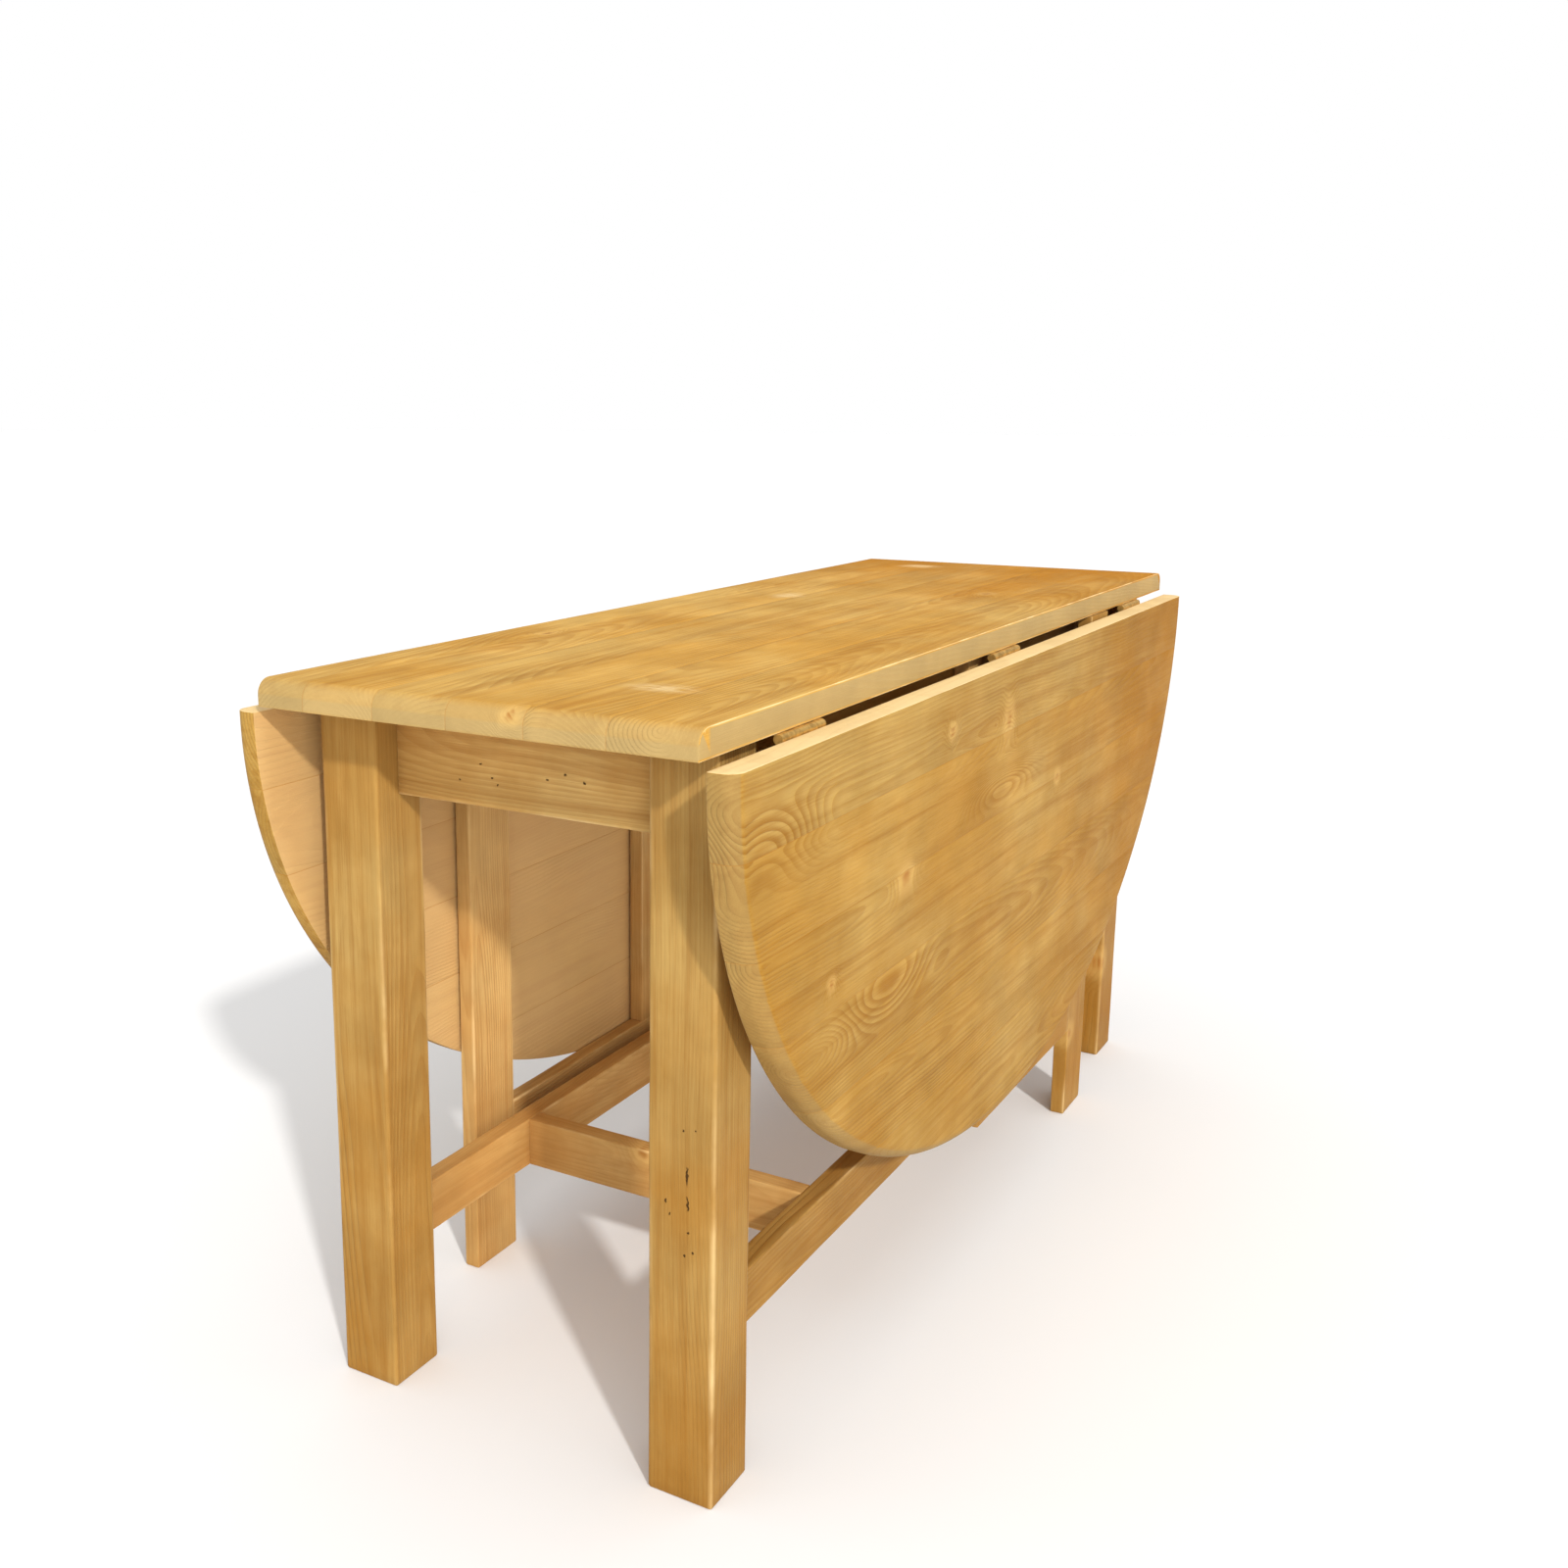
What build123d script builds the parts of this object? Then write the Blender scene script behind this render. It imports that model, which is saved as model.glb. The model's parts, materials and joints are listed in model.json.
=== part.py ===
"""Gateleg table in pine: a long top with rounded ends, two half-elliptical drop leaves on brass
butt hinges, four corner legs and two gates that fold flat against the sides.

X runs along the table, Y across it and Z up, in millimetres. The origin is on the floor under the
middle of the table. The leaves hang and the gates are closed. The front side (-Y) is the rear side
(+Y) turned half round about Z: every size is worked out once, for the rear, and placed by `side`.
"""

import os
from dataclasses import dataclass

from build123d import *

# Top and leaves
top_length = 1480
top_width = 482
table_height = 760
panel_thickness = 28
rim_round = 16  # quarter-round on the upper edge of the top's ends and of the leaves' rims
panel_arris = 1
leaf_depth = 560
rule_gap = 2  # between the top's edge and a raised leaf's edge

# Corner legs
leg_size = 70
end_overhang = 66
leg_arris = 3
foot_chamfer = 2

# Aprons and stretchers
rail_thickness = 24
rail_arris = 1.5
apron_height = 95
end_apron_recess = 33
stretcher_height = 58
stretcher_bottom = 130
cross_stretcher_x = 382

# Mortise and tenon joints
tenon_thickness = 8
tenon_length = 20
tenon_shoulder = 10
stub_tenon_length = 12
tenon_clearance = 0.1

# Gates
gate_thickness = 20
gate_arris = 1.5
gate_leg_width = 78
gate_stile_width = 78
gate_length = 457
gate_pin_x = 24.5  # near the table's middle, where an open gate props the leaf
gate_upper_rail_drop = 42  # from the top's underside to the rail
gate_leg_gap = 0.5  # between the gate and the legs, and over the gate leg
gate_leaf_gap = 2.5
gate_stile_gap = 7  # between the gate stile and the leaf hinge over it

# Hinge posts, which carry the gates
hinge_post_width = 50
hinge_post_edge = 16.5  # from the post's near edge to the gate's pin
hinge_post_gap = 4  # under the leaf hinge's flap

# Wooden buttons that hold the top down, and corner blocks
button_length = 42
button_width = 32
button_thickness = 20
button_tongue = 8
button_x = 420
button_clearance = 0.5
corner_block_reach = 90
corner_block_thickness = 30
corner_block_drop = 42

# Leaf stops, which an open gate comes to rest against
stop_width = 20
stop_length = 60
stop_thickness = 15
stop_gap = 0.5

# Screws
screw_clearance = 0.05
screw_slot_width = 0.8
screw_slot_depth = 0.7


@dataclass
class Screw:
    """A countersunk wood screw."""

    length: float
    shank_radius: float
    head_radius: float

    @property
    def head_height(self):
        return self.head_radius - self.shank_radius


@dataclass
class Hinge:
    """A butt hinge. Its pin lies along local Z. The first flap lies at local +Y and runs to -X,
    and the second lies at local +X and runs to -Y, so at rest they stand square to each other."""

    length: float
    offset: float  # from the pin to the wood behind each flap
    knuckle_radius: float
    pin_radius: float
    flap_width: float
    flap_thickness: float
    flap_setback: float  # from the pin to the wood's edge
    screw_spacing: float
    screws_per_flap: int
    screw: Screw


knuckle_count = 5
knuckle_gap = 0.3
notch_gap = 0.4
pin_clearance = 0.06

leaf_hinge = Hinge(
    length=90,
    offset=5,
    knuckle_radius=4.7,
    pin_radius=2.4,
    flap_width=28,
    flap_thickness=2,
    flap_setback=rule_gap / 2,
    screw_spacing=31,
    screws_per_flap=3,
    screw=Screw(length=18, shank_radius=2, head_radius=4),
)
gate_hinge = Hinge(
    length=50,
    offset=3.5,
    knuckle_radius=3.2,
    pin_radius=1.5,
    flap_width=18,
    flap_thickness=1.5,
    flap_setback=0,
    screw_spacing=30,
    screws_per_flap=2,
    screw=Screw(length=17, shank_radius=1.5, head_radius=3),
)
leaf_hinge_x = 555
gate_hinge_rise = 47  # from the stretchers' top to the lower hinge's middle
gate_hinge_drop = 132  # from the top's underside to the upper hinge's middle
post_screw = Screw(length=40, shank_radius=2, head_radius=4)
button_screw = Screw(length=36, shank_radius=2, head_radius=4)
stop_screw = Screw(length=27, shank_radius=1.75, head_radius=3.5)
post_screw_inset = 15
stop_screw_spacing = 32

# Heights and depths that follow
top_underside = table_height - panel_thickness
leaf_pin_y = top_width / 2 + rule_gap / 2
leaf_pin_z = top_underside - leaf_hinge.offset
leaf_inner_y = leaf_pin_y + leaf_hinge.offset
leaf_edge_z = leaf_pin_z - rule_gap / 2
gate_outer_y = leaf_inner_y - gate_leaf_gap
gate_inner_y = gate_outer_y - gate_thickness
gate_y = gate_inner_y + gate_thickness / 2
leg_outer_y = gate_inner_y - gate_leg_gap
leg_outer_x = top_length / 2 - end_overhang
leg_x = leg_outer_x - leg_size / 2
leg_y = leg_outer_y - leg_size / 2
leg_inner_x = leg_outer_x - leg_size
leg_inner_y = leg_outer_y - leg_size
rail_inner_y = leg_y - rail_thickness / 2
rail_outer_y = leg_y + rail_thickness / 2
end_apron_x = leg_outer_x - end_apron_recess - rail_thickness / 2
end_apron_inner_x = end_apron_x - rail_thickness / 2
apron_z = top_underside - apron_height / 2
stretcher_z = stretcher_bottom + stretcher_height / 2
stretcher_top = stretcher_bottom + stretcher_height
apron_tenon_height = apron_height - 2 * tenon_shoulder
stretcher_tenon_height = stretcher_height - 2 * tenon_shoulder

gate_pin_y = gate_inner_y
gate_end_x = gate_pin_x - gate_hinge.offset
gate_far_x = gate_end_x - gate_length
gate_leg_x = gate_far_x + gate_leg_width / 2
gate_leg_inner_x = gate_far_x + gate_leg_width
gate_stile_x = gate_end_x - gate_stile_width / 2
gate_stile_inner_x = gate_end_x - gate_stile_width
gate_leg_height = top_underside - gate_leg_gap
gate_stile_top = leaf_pin_z - leaf_hinge.knuckle_radius - gate_stile_gap
gate_upper_rail_z = top_underside - gate_upper_rail_drop - stretcher_height / 2
gate_hinge_z = (stretcher_top + gate_hinge_rise, top_underside - gate_hinge_drop)

post_x = gate_pin_x - hinge_post_edge + hinge_post_width / 2
post_outer_y = gate_pin_y - gate_hinge.offset
post_thickness = post_outer_y - rail_outer_y
post_top = top_underside - leaf_hinge.flap_thickness - hinge_post_gap

# Where an open gate's leg stands under the raised leaf, carried back to the hanging leaf
stop_x = gate_pin_x + gate_thickness + stop_gap + stop_width / 2
stop_z = leaf_pin_z - (gate_pin_y + gate_pin_x - gate_leg_x - leaf_pin_y)
button_z = top_underside - button_thickness / 2
tongue_z = top_underside - button_thickness + button_tongue / 2

TOP_CENTRED = (Align.CENTER, Align.CENTER, Align.MAX)
SIDES = {"rear": 1, "front": -1}
ENDS = {"right": 1, "left": -1}


def save(piece, name):
    """Names a finished piece and writes it."""
    piece.part.label = name
    export_step(piece.part, f"parts/{name}.step")


def screws_at(screw, places, clearance=0.0, mode=Mode.ADD):
    """Countersunk screws, or the holes for them, driven down each place's local -Z."""
    with Locations(*places):
        Cylinder(screw.shank_radius + clearance, screw.length + clearance, align=TOP_CENTRED, mode=mode)
        Cone(
            screw.shank_radius + clearance,
            screw.head_radius + clearance,
            screw.head_height,
            align=TOP_CENTRED,
            mode=mode,
        )


def screw_holes(screw, places):
    """Cuts the holes that the screws at these places stand in."""
    screws_at(screw, places, screw_clearance, Mode.SUBTRACT)


def save_screws(name, groups):
    """A node of separate slotted screws, from pairs of a screw and its places."""
    with BuildPart() as screws:
        for screw, places in groups:
            screws_at(screw, places)
            with Locations(*places):
                Box(
                    2 * screw.head_radius,
                    screw_slot_width,
                    screw_slot_depth,
                    align=TOP_CENTRED,
                    mode=Mode.SUBTRACT,
                )
    save(screws, name)


def tenoned_board(centre, along, length, height, thickness, arris, tenon, tenon_height):
    """A board on edge along `along`, with a tenon of length `tenon` at each end."""
    middle = Plane(origin=centre, x_dir=along, z_dir=(0, 0, 1))
    with BuildPart() as board:
        with BuildSketch(middle.offset(-height / 2)):
            Rectangle(length, thickness)
        extrude(amount=height)
        fillet(board.edges().filter_by(Axis((0, 0, 0), along)), arris)
        with BuildSketch(middle.offset(-tenon_height / 2)):
            with Locations(((length + tenon) / 2, 0), (-(length + tenon) / 2, 0)):
                Rectangle(tenon, tenon_thickness)
        extrude(amount=tenon_height)
    return board


def mortise(centre, x_size, y_size, z_size):
    """Cuts a mortise. Its depth clears the tenon's end, as its cheeks clear the tenon's sides."""
    with Locations(centre):
        Box(
            x_size + 2 * tenon_clearance,
            y_size + 2 * tenon_clearance,
            z_size + 2 * tenon_clearance,
            mode=Mode.SUBTRACT,
        )


def knuckle_indices(share):
    """Which knuckles along the pin belong to the flap with this share, 0 or 1."""
    return [index for index in range(knuckle_count) if index % 2 == share]


def hinge_flap(hinge, place, share):
    """One flap with its knuckles. Share 0 is the first flap, with the outer knuckles."""
    pitch = hinge.length / knuckle_count
    width = hinge.flap_width - hinge.flap_setback
    across = -(hinge.flap_width + hinge.flap_setback) / 2
    level = hinge.offset - hinge.flap_thickness / 2
    heights = [(index - (knuckle_count - 1) / 2) * pitch for index in range(knuckle_count)]
    own = [(0, 0, heights[index]) for index in knuckle_indices(share)]
    other = [(0, 0, heights[index]) for index in knuckle_indices(1 - share)]
    plate_centre = (across, level, 0) if share == 0 else (level, across, 0)
    plate_size = (width, hinge.flap_thickness) if share == 0 else (hinge.flap_thickness, width)
    with BuildPart() as flap:
        with Locations(place):
            with Locations(plate_centre):
                Box(*plate_size, hinge.length)
            with Locations(*other):
                Cylinder(hinge.knuckle_radius + notch_gap, pitch + knuckle_gap, mode=Mode.SUBTRACT)
            with Locations(*own):
                Cylinder(hinge.knuckle_radius, pitch - knuckle_gap)
            Cylinder(hinge.pin_radius + pin_clearance, hinge.length, mode=Mode.SUBTRACT)
        screw_holes(hinge.screw, flap_screw_places(hinge, place, share))
    return flap


def flap_screw_places(hinge, place, share):
    """Where a flap's screws stand, with their heads flush with the flap's free face."""
    across = -(hinge.flap_width + hinge.knuckle_radius) / 2
    level = hinge.offset - hinge.flap_thickness
    count = hinge.screws_per_flap
    heights = [(index - (count - 1) / 2) * hinge.screw_spacing for index in range(count)]
    free_face = -place.y_dir if share == 0 else -place.x_dir
    origins = [(across, level, z) if share == 0 else (level, across, z) for z in heights]
    return [
        Plane(origin=place.from_local_coords(origin), x_dir=place.z_dir, z_dir=free_face)
        for origin in origins
    ]


def leaf_hinge_places(side):
    """The pins of a leaf's hinges, from one end of the table to the other."""
    return [
        Plane(origin=(x, side * leaf_pin_y, leaf_pin_z), x_dir=(0, side, 0), z_dir=(side, 0, 0))
        for x in (-leaf_hinge_x, 0, leaf_hinge_x)
    ]


def gate_hinge_places(side):
    """The pins of a gate's two hinges."""
    return [
        Plane(origin=(side * gate_pin_x, side * gate_pin_y, z), x_dir=(-side, 0, 0), z_dir=(0, 0, 1))
        for z in gate_hinge_z
    ]


def all_flap_screws(hinge, places, share):
    """The screws of the same flap on several hinges."""
    return [spot for place in places for spot in flap_screw_places(hinge, place, share)]


def button_places():
    """The middle of each button's apron end, facing into the frame from its apron."""
    beside = [
        Plane(origin=(x, side * rail_inner_y, button_z), x_dir=(0, -side, 0), z_dir=(0, 0, 1))
        for side in SIDES.values()
        for x in (-button_x, 0, button_x)
    ]
    at_ends = [
        Plane(origin=(end * end_apron_inner_x, 0, button_z), x_dir=(-end, 0, 0), z_dir=(0, 0, 1))
        for end in ENDS.values()
    ]
    return beside, at_ends


def button_screw_places():
    """One screw up through the middle of each button."""
    beside, at_ends = button_places()
    return [
        Plane(
            origin=place.from_local_coords((button_length / 2, 0, -button_thickness / 2)),
            x_dir=(1, 0, 0),
            z_dir=(0, 0, -1),
        )
        for place in beside + at_ends
    ]


def post_screw_places(side):
    """Two screws through a hinge post into the side apron and two into the long stretcher."""
    heights = (
        stretcher_bottom + post_screw_inset,
        stretcher_top - post_screw_inset,
        top_underside - apron_height + post_screw_inset,
        apron_z,
    )
    return [
        Plane(origin=(side * post_x, side * post_outer_y, z), x_dir=(side, 0, 0), z_dir=(0, side, 0))
        for z in heights
    ]


def stop_screw_places(side):
    """Two screws through a leaf stop into the leaf."""
    face_y = leaf_inner_y - stop_thickness
    return [
        Plane(origin=(side * stop_x, side * face_y, stop_z + dz), x_dir=(side, 0, 0), z_dir=(0, -side, 0))
        for dz in (-stop_screw_spacing / 2, stop_screw_spacing / 2)
    ]


os.makedirs("parts", exist_ok=True)

# Top panel: square long edges, rounded short ends, pilot holes for everything screwed to it
with BuildPart() as top_panel:
    with BuildSketch(Plane.XY.offset(top_underside)):
        Rectangle(top_length, top_width)
    extrude(amount=panel_thickness)
    fillet(top_panel.faces().sort_by(Axis.Z)[-1].edges().filter_by(Axis.Y), rim_round)
    fillet(top_panel.faces().sort_by(Axis.Z)[-1].edges().filter_by(Axis.X), panel_arris)
    for side in SIDES.values():
        screw_holes(leaf_hinge.screw, all_flap_screws(leaf_hinge, leaf_hinge_places(side), 0))
    screw_holes(button_screw, button_screw_places())
save(top_panel, "top_panel")

# Leaves: half an ellipse as long as the top, square at the hinge edge and rounded along the rim
for side_name, side in SIDES.items():
    inner_face = Plane(origin=(0, side * leaf_inner_y, leaf_edge_z), x_dir=(side, 0, 0), z_dir=(0, side, 0))
    with BuildPart() as leaf:
        with BuildSketch(inner_face):
            Ellipse(top_length / 2, leaf_depth)
            with Locations((0, -leaf_depth / 2)):
                Rectangle(top_length, leaf_depth, mode=Mode.SUBTRACT)
        extrude(amount=panel_thickness)
        outer_face = leaf.faces().filter_by(Axis.Y).sort_by(Axis.Y)[-1 if side > 0 else 0]
        fillet(outer_face.edges().filter_by(GeomType.ELLIPSE), rim_round)
        screw_holes(leaf_hinge.screw, all_flap_screws(leaf_hinge, leaf_hinge_places(side), 1))
        screw_holes(stop_screw, stop_screw_places(side))
    save(leaf, f"{side_name}_leaf")

# Corner legs, with mortises for the side apron, the end apron and the long stretcher
for side_name, side in SIDES.items():
    for end_name, end in ENDS.items():
        with BuildPart() as leg:
            with BuildSketch(Plane.XY):
                with Locations((end * leg_x, side * leg_y)):
                    Rectangle(leg_size, leg_size)
            extrude(amount=top_underside)
            fillet(leg.edges().filter_by(Axis.Z), leg_arris)
            chamfer(leg.faces().sort_by(Axis.Z)[0].edges(), foot_chamfer)
            side_mortise_x = end * (leg_inner_x + tenon_length / 2)
            for z, height in ((apron_z, apron_tenon_height), (stretcher_z, stretcher_tenon_height)):
                mortise((side_mortise_x, side * leg_y, z), tenon_length, tenon_thickness, height)
            end_mortise_y = side * (leg_inner_y + tenon_length / 2)
            end_mortise_place = (end * end_apron_x, end_mortise_y, apron_z)
            mortise(end_mortise_place, tenon_thickness, tenon_length, apron_tenon_height)
        save(leg, f"{side_name}_{end_name}_leg")

# Side aprons, with mortises for the buttons, and long stretchers, with mortises for the cross
# stretchers
for side_name, side in SIDES.items():
    side_apron = tenoned_board(
        (0, side * leg_y, apron_z),
        (1, 0, 0),
        2 * leg_inner_x,
        apron_height,
        rail_thickness,
        rail_arris,
        tenon_length,
        apron_tenon_height,
    )
    with side_apron:
        for x in (-button_x, 0, button_x):
            with Locations((x, side * (rail_inner_y + button_tongue / 2), tongue_z)):
                Box(
                    button_width + 2 * button_clearance,
                    button_tongue + 2 * button_clearance,
                    button_tongue + 2 * button_clearance,
                    mode=Mode.SUBTRACT,
                )
        screw_holes(post_screw, post_screw_places(side))
    save(side_apron, f"{side_name}_apron")

    stretcher = tenoned_board(
        (0, side * leg_y, stretcher_z),
        (1, 0, 0),
        2 * leg_inner_x,
        stretcher_height,
        rail_thickness,
        rail_arris,
        tenon_length,
        stretcher_tenon_height,
    )
    with stretcher:
        for end in ENDS.values():
            mortise(
                (end * cross_stretcher_x, side * (rail_inner_y + stub_tenon_length / 2), stretcher_z),
                tenon_thickness,
                stub_tenon_length,
                stretcher_tenon_height,
            )
        screw_holes(post_screw, post_screw_places(side))
    save(stretcher, f"{side_name}_stretcher")

# End aprons and cross stretchers
for end_name, end in ENDS.items():
    end_apron = tenoned_board(
        (end * end_apron_x, 0, apron_z),
        (0, 1, 0),
        2 * leg_inner_y,
        apron_height,
        rail_thickness,
        rail_arris,
        tenon_length,
        apron_tenon_height,
    )
    with end_apron:
        with Locations((end * (end_apron_inner_x + button_tongue / 2), 0, tongue_z)):
            Box(
                button_tongue + 2 * button_clearance,
                button_width + 2 * button_clearance,
                button_tongue + 2 * button_clearance,
                mode=Mode.SUBTRACT,
            )
    save(end_apron, f"{end_name}_end_apron")

    cross_stretcher = tenoned_board(
        (end * cross_stretcher_x, 0, stretcher_z),
        (0, 1, 0),
        2 * rail_inner_y,
        stretcher_height,
        rail_thickness,
        rail_arris,
        stub_tenon_length,
        stretcher_tenon_height,
    )
    save(cross_stretcher, f"{end_name}_cross_stretcher")

# Buttons: a block under the top with a tongue in the apron
with BuildPart() as top_buttons:
    beside, at_ends = button_places()
    with Locations(*beside, *at_ends):
        with Locations((button_length / 2, 0, 0)):
            Box(button_length, button_width, button_thickness)
        with Locations((-button_tongue / 2, 0, (button_tongue - button_thickness) / 2)):
            Box(button_tongue, button_width, button_tongue)
    screw_holes(button_screw, button_screw_places())
save(top_buttons, "top_buttons")
save_screws("button_screws", [(button_screw, button_screw_places())])

# Corner blocks, notched round the legs' inner corners and glued to both aprons
with BuildPart() as corner_blocks:
    for side in SIDES.values():
        for end in ENDS.values():
            outline = [
                (leg_inner_x - corner_block_reach, rail_inner_y),
                (leg_inner_x, rail_inner_y),
                (leg_inner_x, leg_inner_y),
                (end_apron_inner_x, leg_inner_y),
                (end_apron_inner_x, leg_inner_y - corner_block_reach),
            ]
            with BuildSketch(Plane.XY.offset(top_underside - corner_block_drop)):
                with BuildLine():
                    Polyline(*[(end * x, side * y) for x, y in outline], close=True)
                make_face()
            extrude(amount=-corner_block_thickness)
save(corner_blocks, "corner_blocks")

# Hinge posts
for side_name, side in SIDES.items():
    with BuildPart() as hinge_post:
        with BuildSketch(Plane.XY.offset(stretcher_bottom)):
            with Locations((side * post_x, side * (rail_outer_y + post_thickness / 2))):
                Rectangle(hinge_post_width, post_thickness)
        extrude(amount=post_top - stretcher_bottom)
        fillet(hinge_post.edges().filter_by(Axis.Z), gate_arris)
        screw_holes(post_screw, post_screw_places(side))
        screw_holes(gate_hinge.screw, all_flap_screws(gate_hinge, gate_hinge_places(side), 0))
    save(hinge_post, f"{side_name}_hinge_post")
both_posts = [spot for side in SIDES.values() for spot in post_screw_places(side)]
save_screws("hinge_post_screws", [(post_screw, both_posts)])

# Gates: a leg, a lower rail that runs under the stile, and an upper rail
for side_name, side in SIDES.items():
    with BuildPart() as gate_leg:
        with BuildSketch(Plane.XY):
            with Locations((side * gate_leg_x, side * gate_y)):
                Rectangle(gate_leg_width, gate_thickness)
        extrude(amount=gate_leg_height)
        fillet(gate_leg.edges().filter_by(Axis.Z), gate_arris)
        for z in (stretcher_z, gate_upper_rail_z):
            mortise(
                (side * (gate_leg_inner_x - tenon_length / 2), side * gate_y, z),
                tenon_length,
                tenon_thickness,
                stretcher_tenon_height,
            )
    save(gate_leg, f"{side_name}_gate_leg")

    with BuildPart() as gate_stile:
        with BuildSketch(Plane.XY.offset(stretcher_top)):
            with Locations((side * gate_stile_x, side * gate_y)):
                Rectangle(gate_stile_width, gate_thickness)
        extrude(amount=gate_stile_top - stretcher_top)
        fillet(gate_stile.edges().filter_by(Axis.Z), gate_arris)
        with BuildSketch(Plane.XY.offset(stretcher_top)):
            with Locations((side * gate_stile_x, side * gate_y)):
                Rectangle(gate_stile_width - 2 * tenon_shoulder, tenon_thickness)
        extrude(amount=-tenon_length)
        mortise(
            (side * (gate_stile_inner_x + tenon_length / 2), side * gate_y, gate_upper_rail_z),
            tenon_length,
            tenon_thickness,
            stretcher_tenon_height,
        )
        screw_holes(gate_hinge.screw, all_flap_screws(gate_hinge, gate_hinge_places(side), 1))
    save(gate_stile, f"{side_name}_gate_stile")

    upper_rail = tenoned_board(
        (side * (gate_leg_inner_x + gate_stile_inner_x) / 2, side * gate_y, gate_upper_rail_z),
        (1, 0, 0),
        gate_stile_inner_x - gate_leg_inner_x,
        stretcher_height,
        gate_thickness,
        gate_arris,
        tenon_length,
        stretcher_tenon_height,
    )
    save(upper_rail, f"{side_name}_gate_upper_rail")

    with BuildPart() as lower_rail:
        with BuildSketch(Plane.XY.offset(stretcher_bottom)):
            with Locations((side * (gate_leg_inner_x + gate_end_x) / 2, side * gate_y)):
                Rectangle(gate_end_x - gate_leg_inner_x, gate_thickness)
        extrude(amount=stretcher_height)
        fillet(lower_rail.edges().filter_by(Axis.X), gate_arris)
        with BuildSketch(Plane.XY.offset(stretcher_z - stretcher_tenon_height / 2)):
            with Locations((side * (gate_leg_inner_x - tenon_length / 2), side * gate_y)):
                Rectangle(tenon_length, tenon_thickness)
        extrude(amount=stretcher_tenon_height)
        mortise(
            (side * gate_stile_x, side * gate_y, stretcher_top - tenon_length / 2),
            gate_stile_width - 2 * tenon_shoulder,
            tenon_thickness,
            tenon_length,
        )
    save(lower_rail, f"{side_name}_gate_lower_rail")

# Leaf stops
for side_name, side in SIDES.items():
    with BuildPart() as leaf_stop:
        with BuildSketch(Plane.XY.offset(stop_z - stop_length / 2)):
            with Locations((side * stop_x, side * (leaf_inner_y - stop_thickness / 2))):
                Rectangle(stop_width, stop_thickness)
        extrude(amount=stop_length)
        screw_holes(stop_screw, stop_screw_places(side))
    save(leaf_stop, f"{side_name}_leaf_stop")
    save_screws(f"{side_name}_leaf_stop_screws", [(stop_screw, stop_screw_places(side))])

# Leaf hinges: each flap its own piece, the three pins of a leaf together
hinge_places = ("left", "middle", "right")
for side_name, side in SIDES.items():
    for place_name, place in zip(hinge_places, leaf_hinge_places(side)):
        save(hinge_flap(leaf_hinge, place, 0), f"{side_name}_{place_name}_hinge_top_flap")
        save(hinge_flap(leaf_hinge, place, 1), f"{side_name}_{place_name}_hinge_leaf_flap")
    with BuildPart() as hinge_pins:
        with Locations(*leaf_hinge_places(side)):
            Cylinder(leaf_hinge.pin_radius, leaf_hinge.length)
    save(hinge_pins, f"{side_name}_leaf_hinge_pins")
    leaf_flap_screws = all_flap_screws(leaf_hinge, leaf_hinge_places(side), 1)
    save_screws(f"{side_name}_leaf_flap_screws", [(leaf_hinge.screw, leaf_flap_screws)])
top_flap_screws = [
    spot for side in SIDES.values() for spot in all_flap_screws(leaf_hinge, leaf_hinge_places(side), 0)
]
save_screws("top_flap_screws", [(leaf_hinge.screw, top_flap_screws)])

# Gate hinges: the flaps on a post together, the flaps on a gate together, and their pins
for side_name, side in SIDES.items():
    places = gate_hinge_places(side)
    for share, flap_name in enumerate(("post_flaps", "gate_flaps")):
        flaps = [hinge_flap(gate_hinge, place, share) for place in places]
        with BuildPart() as flap_pair:
            for flap in flaps:
                add(flap.part)
        save(flap_pair, f"{side_name}_gate_hinge_{flap_name}")
    with BuildPart() as gate_pins:
        with Locations(*places):
            Cylinder(gate_hinge.pin_radius, gate_hinge.length)
    save(gate_pins, f"{side_name}_gate_hinge_pins")
    gate_screws = all_flap_screws(gate_hinge, places, 0) + all_flap_screws(gate_hinge, places, 1)
    save_screws(f"{side_name}_gate_hinge_screws", [(gate_hinge.screw, gate_screws)])
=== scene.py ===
"""The gateleg table's finish: waxed antique pine boards with worn arrises, glued panels with grain
that follows each board, aged brass hinges and slotted screws, on a pale studio floor.

Every board is marked with attributes. `grain` is the place in the board (along, across and
through it, in metres), `board` is a number of its own for each board, and `wear_and_painted_light`
is 1 on a worn arris, up to 2 on pale bare wood that is partly a painted highlight, and below 0
where upright faces get painted shade, a dull darker colour. `seam` is 1 on a glue line.
"""

import json
import math

import bmesh
import bpy
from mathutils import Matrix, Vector, noise

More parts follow.
